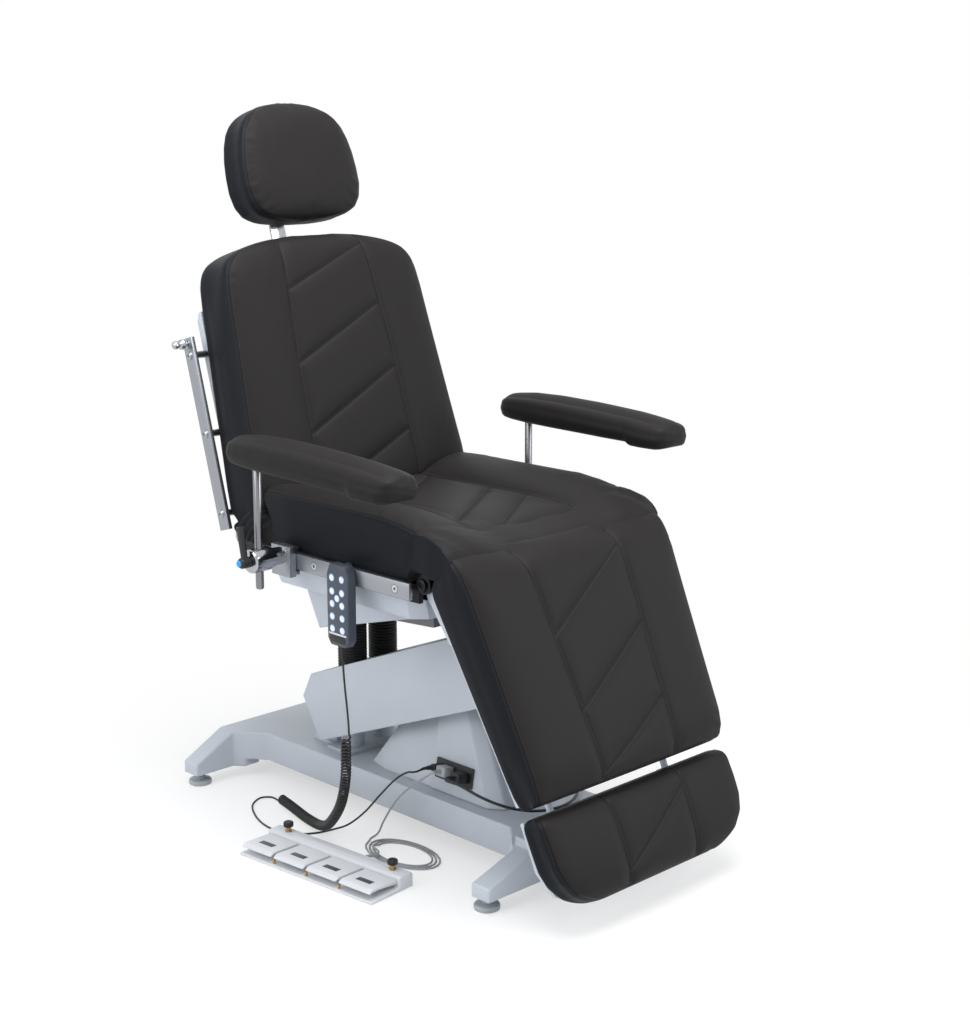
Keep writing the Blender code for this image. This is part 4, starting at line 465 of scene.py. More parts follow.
def pad_point(k, half, low, top, crown, lip, waist):
    """Step k round half a pad's section as (x, n), from mid underside to mid top."""
    tall = top - low
    toe, shoulder = min(0.012, 0.25 * tall, 0.3 * half), min(lip, 0.45 * tall, 0.4 * half)
    if k <= PAD_FLAT:
        return (half - toe) * k / PAD_FLAT, low
    k -= PAD_FLAT
    if k <= PAD_TOE:
        turn = math.pi / 2.0 * k / PAD_TOE
        return half - toe + toe * math.sin(turn), low + toe - toe * math.cos(turn)
    k -= PAD_TOE
    if k <= PAD_SIDE:
        share = k / PAD_SIDE
        return half - waist * math.sin(math.pi * share), low + toe + (tall - toe - shoulder) * share
    k -= PAD_SIDE
    if k <= PAD_SHOULDER:
        turn = math.pi / 2.0 * k / PAD_SHOULDER
        return half - shoulder + shoulder * math.cos(turn), top - shoulder + shoulder * math.sin(turn)
    x = (half - shoulder) * (1.0 - (k - PAD_SHOULDER) / PAD_FLAT)
    if crown < 0.0:
        return x, top + crown * (1.0 - smooth_step((x - DISH_FLAT) / DISH_SLOPE))
    return x, top + crown * (1.0 - (x / (half - shoulder)) ** 2)


def inflated(obj, held, cap):
    """Blow the pad up under its cover, held along its seams and underside, and keep the shape."""
    if not cap:
        return
    group = obj.vertex_groups.new(name="held")
    group.add(held, 1.0, "REPLACE")
    cloth = obj.modifiers.new("cover", "CLOTH")
    cloth.settings.vertex_group_mass = "held"
    cloth.settings.use_pressure = True
    cloth.settings.uniform_pressure_force = PRESSURE
    cloth.settings.effector_weights.gravity = 0.0
    cloth.settings.quality = 4
    cloth.settings.tension_stiffness = STIFFNESS
    cloth.settings.compression_stiffness = STIFFNESS
    cloth.collision_settings.use_collision = False
    cloth.point_cache.frame_start, cloth.point_cache.frame_end = 1, SETTLE_FRAMES
    for moment in range(1, SETTLE_FRAMES + 1):
        bpy.context.scene.frame_set(moment)
    made = obj.evaluated_get(bpy.context.evaluated_depsgraph_get()).data
    moved = [vert.co.copy() for vert in made.vertices]
    obj.modifiers.remove(cloth)
    bpy.context.scene.frame_set(1)
    for vert, to in zip(obj.data.vertices, moved):
        step = to - vert.co
        vert.co += step * min(1.0, cap / max(step.length, 1e-9))
    obj.vertex_groups.clear()


def upholstered(name, nodes, place, stations, lines, body, lip, cap, lean=0.0, rim=0.45, hems=2, step=0.008,
                waist=0.004):
    """Padded piece lofted along its own Y through stations of (y, half width, low, top, crown).

    The lines are seams drawn on the top as (x, y) points; a rim seam of the given weight runs
    round the top's edge. The lip is the radius of that edge and the cap is the most it puffs up.
    """
    columns = np.array(sorted(stations)).T
    first, last = columns[0][0], columns[0][-1]
    even = np.linspace(first, last, round((last - first) / step) + 1)
    close = [y for y in columns[0] if min(y - first, last - y) < END_ZONE]
    along = []
    for y in sorted(list(even) + close):
        if not along or y - along[-1] > ROW_GAP:
            along.append(y)
    along[-1] = last
    rows = [(first, 0.0), (first, 0.4), (first, 0.75)] + [(y, 1.0) for y in along]
    rows += [(last, 0.75), (last, 0.4), (last, 0.0)]

    def spot(k, side, y, full=1.0):
        """Step k of the section at y; the ends close where full goes to 0."""
        half, low, top, crown = (float(np.interp(y, columns[0], column)) for column in columns[1:])
        x, n = pad_point(k, half, low, top, crown, lip, waist)
        if full < 1.0:
            flat = (half - 0.3 * min(half, 0.05)) * min(k, PAD_STEPS - k, PAD_FLAT) / PAD_FLAT
            x = flat + (x - flat) * full
            n = (low + top) / 2.0 + (n - (low + top) / 2.0) * full
        leant = lean * (n - LEAN_HEIGHT) * smooth_step((y - LEAN_FROM) / LEAN_OVER)
        return Vector((side * x, y + leant, n))

    bm = bmesh.new()
    bmesh.ops.create_grid(bm, x_segments=2 * PAD_STEPS, y_segments=len(rows) - 1, size=1.0)
    for vert in bm.verts:
        i = round((vert.co.x + 1.0) * PAD_STEPS)
        y, full = rows[round((vert.co.y + 1.0) / 2.0 * (len(rows) - 1))]
        vert.co = spot(min(i, 2 * PAD_STEPS - i), 1.0 if i <= PAD_STEPS else -1.0, y, full)
    bmesh.ops.remove_doubles(bm, verts=bm.verts[:], dist=1e-5)
    bmesh.ops.recalc_face_normals(bm, faces=bm.faces[:])

    sewn = []
    for line in lines:
        trace = []
        for (x, y), (to_x, to_y) in zip(line, line[1:]):
            count = max(2, round(math.hypot(to_x - x, to_y - y) / SEAM_STEP))
            trace += [(x + (to_x - x) * i / count, y + (to_y - y) * i / count) for i in range(count)]
        points = []
        for x, y in trace:
            half = float(np.interp(y, columns[0], columns[1]))
            k = PAD_STEPS - PAD_FLAT * min(1.0, abs(x) / (half - lip))
            points.append(spot(k, 1.0 if x > 0.0 else -1.0, y))
        sewn.append((points, 1.0))
    if rim:
        tops = [PAD_EDGE + 0.25 * i for i in range(4 * (PAD_STEPS - PAD_EDGE) + 1)]
        fine = np.linspace(first, last, round((last - first) / SEAM_STEP) + 1)
        sewn.append(([spot(PAD_EDGE, 1.0, y) for y in fine], rim))
        sewn.append(([spot(PAD_EDGE, -1.0, y) for y in fine], rim))
        for y in (first, last)[:hems]:
            sewn.append(([spot(k, 1.0, y) for k in tops] + [spot(k, -1.0, y) for k in reversed(tops)], rim))
    marks = []
    for points, weight in sewn:
        marks += [(point, run, weight) for point, run in zip(points, running(points))]
    tree = kdtree.KDTree(len(marks))
    for i, (point, run, weight) in enumerate(marks):
        tree.insert(point, i)
    tree.balance()

    held = []
    bm.verts.index_update()
    for vert in bm.verts:
        low, top = (float(np.interp(vert.co.y, columns[0], columns[i])) for i in (2, 3))
        if vert.co.z < low + 0.2 * (top - low) or (marks and tree.find(vert.co)[2] < SEAM_HOLD):
            held.append(vert.index)
    mesh = bpy.data.meshes.new(name + "_cut")
    bm.to_mesh(mesh)
    bm.free()
    pad = placed(name + "_cut", mesh)
    inflated(pad, held, cap)
    finer = pad.modifiers.new("finer", "SUBSURF")
    finer.levels = finer.render_levels = 1
    fine = bpy.data.meshes.new_from_object(pad.evaluated_get(bpy.context.evaluated_depsgraph_get()))
    bpy.data.objects.remove(pad)
    bm = bmesh.new()
    bm.from_mesh(fine)
    bpy.data.meshes.remove(fine)
    bm.normal_update()
    apart, length = bm.verts.layers.float.new("seam"), bm.verts.layers.float.new("run")
    side_shade = bm.verts.layers.float.new("side_shade")
    for vert in bm.verts:
        vert[apart], weight = SEAM_FAR, 0.0
        if marks:
            point, i, distance = tree.find(vert.co)
            vert[apart], vert[length], weight = min(distance, SEAM_FAR), marks[i][1], marks[i][2]
        # The side faces below the top's edge are marked for painted shade.
        vert[side_shade] = 1.0 if rim and abs(vert.co.x) > spot(PAD_EDGE, 1.0, vert.co.y).x else 0.0
        pull = math.exp(-(vert[apart] / SEAM_GROOVE) ** 2) + 0.9 * math.exp(-(vert[apart] / SEAM_DIP) ** 2)
        vert.co -= vert.normal * SEAM_DEPTH * weight * pull
    bmesh.ops.transform(bm, matrix=place, verts=bm.verts[:])
    piece = finished(name, bm, coated_fabric, body, nodes, 80.0)
    return piece


REST = Matrix()
SEAT_TOP, SEAT_LOW, SEAT_HALF = 0.838, 0.6975, 0.338
upholstered(
    "seat_cushion_sewn", ("seat_cushion",), REST,
    [(-0.2432, SEAT_HALF - 0.003, 0.7240, SEAT_TOP - 0.020, -0.033),
     (-0.217, SEAT_HALF, 0.7240, SEAT_TOP - 0.014, -0.034),
     (-0.212, SEAT_HALF, SEAT_LOW, SEAT_TOP - 0.013, -0.034),
     (-0.170, SEAT_HALF, SEAT_LOW, SEAT_TOP - 0.006, -0.036),
     (-0.110, SEAT_HALF, SEAT_LOW, SEAT_TOP, -0.038), (0.200, SEAT_HALF, SEAT_LOW, SEAT_TOP, -0.038),
     (0.2805, SEAT_HALF - 0.003, SEAT_LOW, SEAT_TOP - 0.003, -0.034)],
    [[(-0.150, 0.275), (-0.152, 0.030), (-0.158, -0.150), (-0.168, -0.236)],
     [(0.150, 0.275), (0.152, 0.030), (0.158, -0.150), (0.168, -0.236)],
     [(-0.154, -0.165), (0.150, 0.035)], [(-0.151, 0.055), (0.150, 0.245)],
     [(-0.080, -0.236), (0.156, -0.085)]],
    "seat", lip=0.026, cap=0.007, lean=0.2867, hems=0)

# Back cushion
# Foam on the painted back panel, narrower and rounded at the top, under a boxed cover with
# two long seams and slanting quilt seams; rails and a chrome stop knob stand at its sides.
softened("back_panel", painted_steel)
upholstered(
    "back_cushion_sewn", ("back_cushion",), back_frame,
    [(0.012, 0.334, 0.024, 0.094, 0.0), (0.020, 0.338, 0.024, 0.112, 0.004),
     (0.062, 0.340, -0.004, 0.124, 0.008), (0.120, 0.338, -0.004, 0.126, 0.010),
     (0.540, 0.308, -0.004, 0.120, 0.010), (0.585, 0.303, -0.004, 0.119, 0.010),
     (0.610, 0.297, -0.004, 0.118, 0.010), (0.628, 0.288, -0.004, 0.116, 0.010),
     (0.643, 0.274, -0.004, 0.114, 0.010), (0.656, 0.252, -0.003, 0.111, 0.010),
     (0.667, 0.222, -0.002, 0.107, 0.009), (0.676, 0.186, 0.001, 0.103, 0.008),
     (0.684, 0.145, 0.006, 0.097, 0.006), (0.689, 0.102, 0.012, 0.090, 0.004),
     (0.692, 0.060, 0.019, 0.082, 0.003)],
    [[(-0.126, 0.676), (-0.150, 0.376), (-0.160, 0.030)], [(0.126, 0.676), (0.150, 0.376), (0.160, 0.030)],
     [(-0.136, 0.555), (0.128, 0.662)], [(-0.149, 0.376), (0.142, 0.508)],
     [(-0.153, 0.205), (0.150, 0.345)], [(-0.157, 0.052), (0.156, 0.185)]],
    "back", lip=0.024, cap=0.007)

# Polished chrome: a mirror with a few fine hairlines.
chrome = surface("polished_chrome", "#b4b7bb", "#adb0b4", (0.08, 0.18), 1.6, 0.004, 1.0)
KNOB_UP, KNOB_SCALE = 0.468, 1.35
knob_at = back_frame @ Matrix.Translation((-RAIL_FACE, KNOB_UP, BACK_RAIL_N))
outward = Matrix.Rotation(-math.pi / 2.0, 4, "Y")
turned("rail_stop_knob",
       [(0.0, -0.001), (0.0075, -0.001), (0.0075, 0.002), (0.0042, 0.003), (0.0042, 0.005), (0.0078, 0.0075),
        (0.0095, 0.0115), (0.0084, 0.0158), (0.0052, 0.0185), (0.0052, 0.0195), (0.0068, 0.0215),
        (0.0076, 0.0248), (0.0064, 0.0285), (0.0034, 0.0308), (0.0, 0.0312)],
       knob_at @ outward @ Matrix.Scale(KNOB_SCALE, 4), 32, chrome, "back")


# Cover gussets
# Loose folds of the same coated fabric, sewn across the knee and the back hinge so that the
# cover stays closed when the sections move.
TUCK_FROM, TUCK_OVER = 0.264, 0.026
GUSSET_STEPS = 96
GUSSET_ENDS = (0.0, 0.12, 0.25, 0.38, 0.5, 0.62, 0.74, 0.86, 0.95)


def gusset(name, outline, half, folds, tuck=0.0):
    """Folded fill between two pads; the outline gives its (y, z) section at a place across the table."""
    rows = [(-1.0, full) for full in GUSSET_ENDS]
    rows += [(2.0 * i / GUSSET_STEPS - 1.0, 1.0) for i in range(GUSSET_STEPS + 1)]
    rows += [(1.0, full) for full in reversed(GUSSET_ENDS)]
    bm = bmesh.new()
    bmesh.ops.create_grid(bm, x_segments=GUSSET_STEPS, y_segments=len(rows) - 1, size=1.0)
    sections = {}
    for vert in bm.verts:
        j = round((vert.co.y + 1.0) / 2.0 * (len(rows) - 1))
        i = round((vert.co.x + 1.0) / 2.0 * GUSSET_STEPS)
        if j not in sections:
            corners = [Vector((y, z)) for y, z in outline(rows[j][0] * half)]
            corners.append(corners[0])
            middle = sum(corners[:-1], Vector((0.0, 0.0))) / (len(corners) - 1)
            sections[j] = (corners, running(corners), middle)
        corners, runs, middle = sections[j]
        point = middle + (point_at(corners, runs, runs[-1] * i / GUSSET_STEPS) - middle) * rows[j][1]
        tucked = tuck * (1.0 - smooth_step((point.x - TUCK_FROM) / TUCK_OVER))
        vert.co = (rows[j][0] * (half - tucked), point.x, point.y)
    bmesh.ops.remove_doubles(bm, verts=bm.verts[:], dist=1e-5)
    bmesh.ops.recalc_face_normals(bm, faces=bm.faces[:])
    for turn in range(2):
        bmesh.ops.smooth_vert(bm, verts=bm.verts[:], factor=0.5, use_axis_x=False, use_axis_y=True,
                              use_axis_z=True)
    bm.normal_update()
    for vert in bm.verts:
        vert.co += vert.normal * folds(vert.co)
    apart, side_shade = bm.verts.layers.float.new("seam"), bm.verts.layers.float.new("side_shade")
    for vert in bm.verts:
        # The gusset's end faces get the same painted shade as the pads' sides.
        vert[apart], vert[side_shade] = SEAM_FAR, smooth_step((abs(vert.co.x) - half + 0.010) / 0.006)
    piece = finished(name, bm, coated_fabric, None, (), 80.0)
    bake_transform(piece)


def knee_outline(x):
    """Section of the fill over the knee, dished like the seat."""
    dip = 0.033 * (1.0 - smooth_step((abs(x) - DISH_FLAT) / DISH_SLOPE))
    edge = 0.006 * smooth_step((abs(x) - 0.322) / 0.015)
    high = 0.822 - edge
    return [(-0.226, 0.735), (-0.222, high - 0.012 - dip), (-0.230, high - 0.002 - dip),
            (-0.262, high - 0.007 - dip), (-0.295, high - 0.016 - 0.97 * dip),
            (-0.318, high - 0.027 - 0.92 * dip), (-0.332, high - 0.037 - 0.88 * dip),
            (-0.340, high - 0.047 - 0.80 * dip), (-0.342, 0.748), (-0.330, 0.735), (-0.290, 0.722)]


def knee_folds(co):
    """Shallow waves, stronger at the sides."""
    edge = smooth_step((abs(co.x) - 0.22) / 0.10)
    return 0.0016 * math.sin(co.x * 95.0 + co.y * 60.0) * edge + 0.0010 * math.sin(co.x * 41.0 + co.z * 30.0)


gusset("knee_gusset", knee_outline, 0.3375, knee_folds)


def hip_outline(x):
    """Section of the fill over the back hinge, the same at every x."""
    return [(0.238, 0.702), (0.252, 0.742), (0.268, 0.770), (0.288, 0.780), (0.320, 0.774), (0.356, 0.752),
            (0.380, 0.730), (0.378, 0.714), (0.340, 0.703), (0.290, 0.699), (0.248, 0.699)]


def hip_folds(co):
    """Close gathers at the sides, none in the middle."""
    edge = smooth_step((abs(co.x) - 0.30) / 0.03)
    edge *= smooth_step((co.y - 0.262) / 0.03)
    gather = abs(math.sin((co.y * 1.15 + co.z) * 120.0 + 0.9 * math.sin(co.z * 46.0 - co.y * 31.0)))
    return 0.0062 * edge * (gather - 0.5) - 0.004 * (1.0 - edge)


gusset("hip_gusset", hip_outline, 0.3465, hip_folds, tuck=0.014)

# Headrest
# Chrome bar that slides in the back's socket, an aluminium bracket that tilts on its upper
# end, and a rounded pad with a boxed side.
HEAD_UP, HEAD_N = 0.870, -0.020
head_frame = back_frame @ Matrix.Translation((0.0, HEAD_UP, HEAD_N))
softened("head_bar", chrome)
softened("head_bracket", anodised, 0.0008)
upholstered(
    "headrest_cushion_sewn", ("headrest_cushion",), head_frame,
    [(-0.1435, 0.030, 0.052, 0.098, 0.0), (-0.142, 0.070, 0.048, 0.105, 0.001),
     (-0.138, 0.104, 0.044, 0.112, 0.002), (-0.130, 0.134, 0.041, 0.119, 0.003),
     (-0.117, 0.156, 0.039, 0.124, 0.004), (-0.094, 0.172, 0.038, 0.128, 0.005),
     (-0.060, 0.180, 0.038, 0.130, 0.006), (-0.020, 0.180, 0.038, 0.130, 0.006),
     (0.020, 0.176, 0.038, 0.130, 0.006), (0.055, 0.168, 0.038, 0.130, 0.006),
     (0.085, 0.156, 0.038, 0.129, 0.006), (0.106, 0.141, 0.038, 0.127, 0.005),
     (0.122, 0.122, 0.039, 0.123, 0.004), (0.134, 0.100, 0.041, 0.117, 0.003),
     (0.142, 0.078, 0.044, 0.112, 0.002), (0.1475, 0.052, 0.047, 0.106, 0.001),
     (0.1500, 0.028, 0.050, 0.102, 0.0), (0.1508, 0.010, 0.053, 0.098, 0.0)],
    [], "head", lip=0.024, cap=0.005, step=0.006, hems=0)

# Leg section
# Foam on a painted panel that swings from the knee shaft, sewn like the back, with the foot
# section's rod guides behind it.
KNEE_Y, LEG_ANGLE = -0.245, math.radians(65.0)
LEG_LENGTH, LEG_TAPER, LEG_TOP, LEG_CROWN = 0.515, 0.026, 0.143, 0.007
# The underside lifts away from the leg's own plane from this far below the knee.
LEG_LOW, LEG_RISE, LEG_RISE_FROM, LEG_RISE_OVER = 0.0251, 0.031, 0.028, 0.477
leg_frame = Matrix.Translation((0.0, KNEE_Y, HINGE_Z)) @ Matrix.Rotation(LEG_ANGLE, 4, "X")
softened("leg_panel", painted_steel)


def leg_station(y, inset, drop):
    """Station of the leg pad, which narrows towards the foot."""
    low = LEG_LOW + LEG_RISE * (-y - LEG_RISE_FROM) / LEG_RISE_OVER
    return y, SEAT_HALF + LEG_TAPER * y / LEG_LENGTH - inset, low, LEG_TOP - drop, LEG_CROWN


leg_pad = upholstered(
    "leg_cushion_sewn", ("leg_cushion",), leg_frame,
    [leg_station(*row) for row in ((-0.515, 0.014, 0.030), (-0.511, 0.009, 0.021), (-0.504, 0.006, 0.014),
                                   (-0.485, 0.002, 0.005), (-0.450, 0.0, 0.001), (-0.065, 0.0, 0.001))]
    + [(-0.035, 0.336, 0.0255, 0.140, 0.006), (-0.016, 0.337, 0.030, 0.137, 0.001),
       (0.0, 0.338, 0.050, 0.133, -0.008), (0.012, 0.338, 0.062, 0.128, -0.016),
       (0.022, 0.338, 0.066, 0.122, -0.022), (0.030, 0.337, 0.068, 0.115, -0.026),
       (0.036, 0.335, 0.070, 0.105, -0.026)],
    [[(-0.152, 0.030), (-0.128, -0.300), (-0.112, -0.508)],
     [(0.152, 0.030), (0.136, -0.300), (0.128, -0.508)], [(-0.137, -0.185), (0.149, -0.020)],
     [(-0.124, -0.355), (0.141, -0.205)], [(-0.114, -0.498), (0.133, -0.375)]],
    None, lip=0.022, cap=0.007, hems=1)
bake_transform(leg_pad)

# Foot section
# A short pad with rounded corners on a painted panel, carried by two steel rods that slide
# out of the leg panel.
FOOT_START = 0.535
foot_frame = leg_frame @ Matrix.Translation((0.0, -FOOT_START, 0.0))
softened("foot_panel", painted_steel)
upholstered(
    "foot_cushion_sewn", ("foot_cushion",), foot_frame,
    [(-0.208, 0.187, 0.0625, 0.098, 0.0), (-0.204, 0.212, 0.0575, 0.105, 0.002),
     (-0.198, 0.231, 0.0557, 0.110, 0.003), (-0.190, 0.249, 0.0553, 0.114, 0.004),
     (-0.178, 0.269, 0.0553, 0.119, 0.005), (-0.160, 0.285, 0.0553, 0.122, 0.006),
     (-0.145, 0.297, 0.0553, 0.124, 0.006), (-0.110, 0.309, 0.0553, 0.125, 0.007),
     (-0.070, 0.311, 0.0553, 0.125, 0.007), (-0.022, 0.312, 0.0553, 0.122, 0.006),
     (-0.006, 0.309, 0.0557, 0.115, 0.003), (0.0, 0.301, 0.0623, 0.104, 0.0)],
    [[(-0.112, -0.004), (-0.106, -0.198)], [(0.126, -0.004), (0.118, -0.198)],
     [(-0.107, -0.172), (0.124, -0.040)]],
    "foot", lip=0.018, cap=0.005)

# Armrests
# On each seat rail a chrome barrel clamp with aluminium jaws, a moulded lever with a blue
# cap, a bright post that slides through the barrel, and a padded arm board on top.
JAW_X, POST_X, POST_Y, PAD_BOTTOM = 0.3745, 0.434, 0.175, 0.913
# Brushed stainless steel: a grey mirror, a little blurred. Blue ABS: clear and glossy.
brushed_steel = surface("brushed_stainless_steel", "#8f9194", "#86888b", (0.20, 0.34), 1.0, 0.01, 1.0)
blue_abs = surface("blue_moulded_abs", "#2491d8", "#2a9be0", (0.30, 0.42), 1.2, 0.03)
for label, side in (("near", -1.0), ("far", 1.0)):
    clamp = softened("clamp_" + label, chrome)
    clamp.data.materials.append(anodised)
    for face in clamp.data.polygons:
        face.material_index = 1 if abs(face.center.x) < JAW_X else 0
    softened("lever_" + label, black_nylon, 0.0012)
    low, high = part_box("lever_" + label)
    end = low.x if side < 0.0 else high.x
    turned("lever_cap_" + label,
           [(0.0, -0.001), (0.0078, -0.001), (0.0078, 0.0016), (0.0066, 0.0030), (0.0036, 0.0038),
            (0.0, 0.0040)],
           Matrix.Translation((end, POST_Y, HINGE_Z)) @ Matrix.Rotation(side * math.pi / 2.0, 4, "Y"), 32,
           blue_abs, "lever_" + label)
    turned("post_%s_turned" % label,
           [(0.0, 0.632), (0.0052, 0.632), (0.0078, 0.6332), (0.0090, 0.6352), (0.0094, 0.638),
            (0.0094, 0.9215), (0.0082, 0.9235), (0.0, 0.9235)],
           Matrix.Translation((side * POST_X, POST_Y, 0.0)), 40,
           brushed_steel, "post_" + label, ("post_" + label,))
    upholstered(
        "arm_pad_%s_sewn" % label, ("arm_pad_" + label,),
        Matrix.Translation((side * POST_X, 0.0, PAD_BOTTOM)),
        [(-0.3125, 0.012, 0.008, 0.026, 0.0), (-0.311, 0.024, 0.003, 0.032, 0.002),
         (-0.308, 0.034, -0.002, 0.037, 0.004), (-0.302, 0.043, -0.006, 0.041, 0.006),
         (-0.293, 0.050, -0.009, 0.044, 0.008), (-0.278, 0.055, -0.011, 0.046, 0.010),
         (-0.240, 0.058, -0.011, 0.050, 0.011), (-0.203, 0.058, -0.010, 0.053, 0.012),
         (-0.194, 0.056, -0.003, 0.054, 0.012), (-0.120, 0.057, -0.002, 0.058, 0.012),
         (-0.060, 0.056, -0.001, 0.061, 0.012), (0.060, 0.052, 0.0, 0.064, 0.012),
         (0.150, 0.047, 0.001, 0.063, 0.011), (0.205, 0.042, 0.003, 0.059, 0.009),
         (0.228, 0.038, 0.005, 0.056, 0.008), (0.241, 0.032, 0.008, 0.052, 0.006),
         (0.249, 0.025, 0.012, 0.048, 0.004), (0.254, 0.016, 0.017, 0.042, 0.002),
         (0.256, 0.007, 0.022, 0.036, 0.0)],
        [], "pad_" + label, lip=0.026, cap=0.0, step=0.007, rim=0.0, waist=-0.003)

# Handset
# Moulded case, hung by its hook on the near rail, with eleven round silicone keys in blue
# rings, a pale band and a bare plate.
# Slate ABS: dark blue grey and satin. The keys are milky silicone, the rings and the band
# printed film with a smooth low gloss.
slate_abs = surface("slate_moulded_abs", "#3c434f", "#444b58", (0.40, 0.52), 1.2, 0.04)
softened("handset", slate_abs, 0.0012)
FACE_X, HANDSET_Y, HANDSET_TOP, HANDSET_LONG = -0.3810, -0.030, 0.715, 0.185
key_rubber = surface("white_silicone", "#dfe3e6", "#e6e9ec", (0.45, 0.6), 1.0, 0.03, ior=1.42)
ring_print = surface("blue_printed_film", "#4d86c2", "#5690cc", (0.35, 0.45), 1.0, 0.01)
pale_film = surface("pale_printed_film", "#c9ced4", "#d2d6db", (0.35, 0.45), 1.0, 0.01)
outward = Matrix.Rotation(-math.pi / 2.0, 4, "Y")
keys, rings = bmesh.new(), bmesh.new()
key_spots = [(column, row) for row in (0.165, 0.330, 0.485, 0.640, 0.790) for column in (-0.0165, 0.0165)]
for column, row in key_spots + [(0.0, 0.408)]:
    place = Matrix.Translation((FACE_X, HANDSET_Y + column, HANDSET_TOP - row * HANDSET_LONG)) @ outward
    spun(keys, [(0.0, 0.0002), (0.0074, 0.0002), (0.0074, 0.0010), (0.0066, 0.0016), (0.0, 0.0019)],
         place, 28)
    spun(rings, [(0.0, -0.0002), (0.0090, -0.0002), (0.0090, 0.0003), (0.0087, 0.0005), (0.0, 0.0005)],
         place, 28)
finished("handset_keys", keys, key_rubber, "carriage")
finished("handset_key_rings", rings, ring_print, "carriage")


def block(bm, low, high, edge, place=REST):
    """Box between two corners with rounded edges."""
    low, high = Vector(low), Vector(high)
    size = Matrix.Diagonal((*(high - low), 1.0))
    made = bmesh.ops.create_cube(bm, size=1.0, matrix=place @ Matrix.Translation((low + high) / 2.0) @ size)
    rim = {e for vert in made["verts"] for e in vert.link_edges}
    bmesh.ops.bevel(bm, geom=list(rim), offset=edge, offset_type="OFFSET", segments=2, profile=0.5,
                    affect="EDGES", material=-1)


bm = bmesh.new()
block(bm, (FACE_X - 0.0006, HANDSET_Y - 0.029, 0.5555), (FACE_X + 0.001, HANDSET_Y + 0.029, 0.5595), 0.0003)
finished("handset_band", bm, pale_film, "carriage")
bm = bmesh.new()
block(bm, (FACE_X - 0.0008, HANDSET_Y - 0.026, 0.538), (FACE_X + 0.001, HANDSET_Y + 0.026, 0.553), 0.0004)
finished("handset_plate", bm, black_nylon, "carriage")

# Footswitch
# Low moulded case with four hinged pedals, each with a bare dark plate, brass stop studs
# between them, and two ribbed knobs on brass screws in the rear hood.
# Moulded ABS: pale, even and satin. Film: dark, smooth and low in gloss. Brass: yellow, bright.
light_abs = surface("light_moulded_abs", "#cbced3", "#d3d6da", (0.42, 0.55), 1.2, 0.05)
plate_film = surface("dark_film_plate", "#3a3f47", "#41464e", (0.35, 0.45), 1.0, 0.01)
brass = surface("turned_brass", "#b8965a", "#ad8b50", (0.22, 0.36), 0.9, 0.01, 1.0)
SWITCH_AT, SWITCH_TURN = (-0.4065, 0.001, 0.0), math.radians(5.0)
PEDAL_HINGE_X, PEDAL_HINGE_Z, PEDAL_PITCH, PEDAL_SLOPE = 0.0225, 0.022, 0.104, math.radians(2.2)
STUD_X, KNOB_X, KNOB_STEPS, RIB_FROM, RIB_DEPTH = -0.058, 0.045, 48, 0.0104, 0.94
switch = Matrix.Translation(SWITCH_AT) @ Matrix.Rotation(SWITCH_TURN, 4, "Z")
softened("footswitch_base", light_abs)
for i in range(4):
    softened("pedal_%d" % (i + 1), light_abs, 0.0008)
    hinge = switch @ Matrix.Translation((PEDAL_HINGE_X, PEDAL_PITCH * (i - 1.5), PEDAL_HINGE_Z))
    slope = Matrix.Rotation(PEDAL_SLOPE, 4, "Y")
    bm = bmesh.new()
    block(bm, (-0.060, -0.022, 0.0052), (-0.044, 0.022, 0.0066), 0.0005, hinge @ slope)
    finished("pedal_plate_%d" % (i + 1), bm, plate_film, "pedal_%d" % (i + 1))
bm = bmesh.new()
for i in (-1, 0, 1):
    spun(bm, [(0.0, 0.004), (0.0034, 0.004), (0.0034, 0.0145), (0.0026, 0.0156), (0.0, 0.0156)],
         switch @ Matrix.Translation((STUD_X, PEDAL_PITCH * i, 0.0)), 20)
finished("footswitch_studs", bm, brass, "base")
for label, along in (("front", -0.170), ("rear", 0.164)):
    place = switch @ Matrix.Translation((KNOB_X, along, 0.0))
    bm = bmesh.new()
    spun(bm, [(0.0, 0.0470), (0.0092, 0.0470), (0.0112, 0.0482), (0.0118, 0.0500), (0.0118, 0.0568),
              (0.0110, 0.0588), (0.0088, 0.0600), (0.0046, 0.0600), (0.0036, 0.0592), (0.0, 0.0592)],
         REST, KNOB_STEPS)
    for vert in bm.verts:
        turn = round(math.atan2(vert.co.y, vert.co.x) / (2.0 * math.pi) * KNOB_STEPS)
        if vert.co.xy.length > RIB_FROM and turn % 2:
            vert.co.xy *= RIB_DEPTH
    bmesh.ops.transform(bm, matrix=place, verts=bm.verts[:])
    finished("knob_%s_ribbed" % label, bm, black_nylon, "knob_" + label, ("knob_" + label,),
             25.0)
    bm = bmesh.new()
    spun(bm, [(0.0, 0.0345), (0.0050, 0.0345), (0.0050, 0.0475), (0.0, 0.0475)], place, 24)
    spun(bm, [(0.0050, 0.0352), (0.0078, 0.0352), (0.0078, 0.0402), (0.0070, 0.0410), (0.0050, 0.0410)],
         place, 6)
    finished("knob_post_" + label, bm, brass, "knob_" + label)


# Handset cord
# Black PVC cord, 4.8 mm thick: straight below the handset, a long springy curl that hangs
# to the floor, then a plain loop that goes round the footswitch and up to its socket.
# Extruded PVC jacket: smooth, with a soft wide gleam and faint drawing marks.
black_jacket = surface("black_pvc_jacket", "#141517", "#191a1c", (0.36, 0.50), 1.1, 0.03)
ROUTE_STEPS, BOOT_STEP, BOOT_GROOVE = 24, 0.0012, 0.14


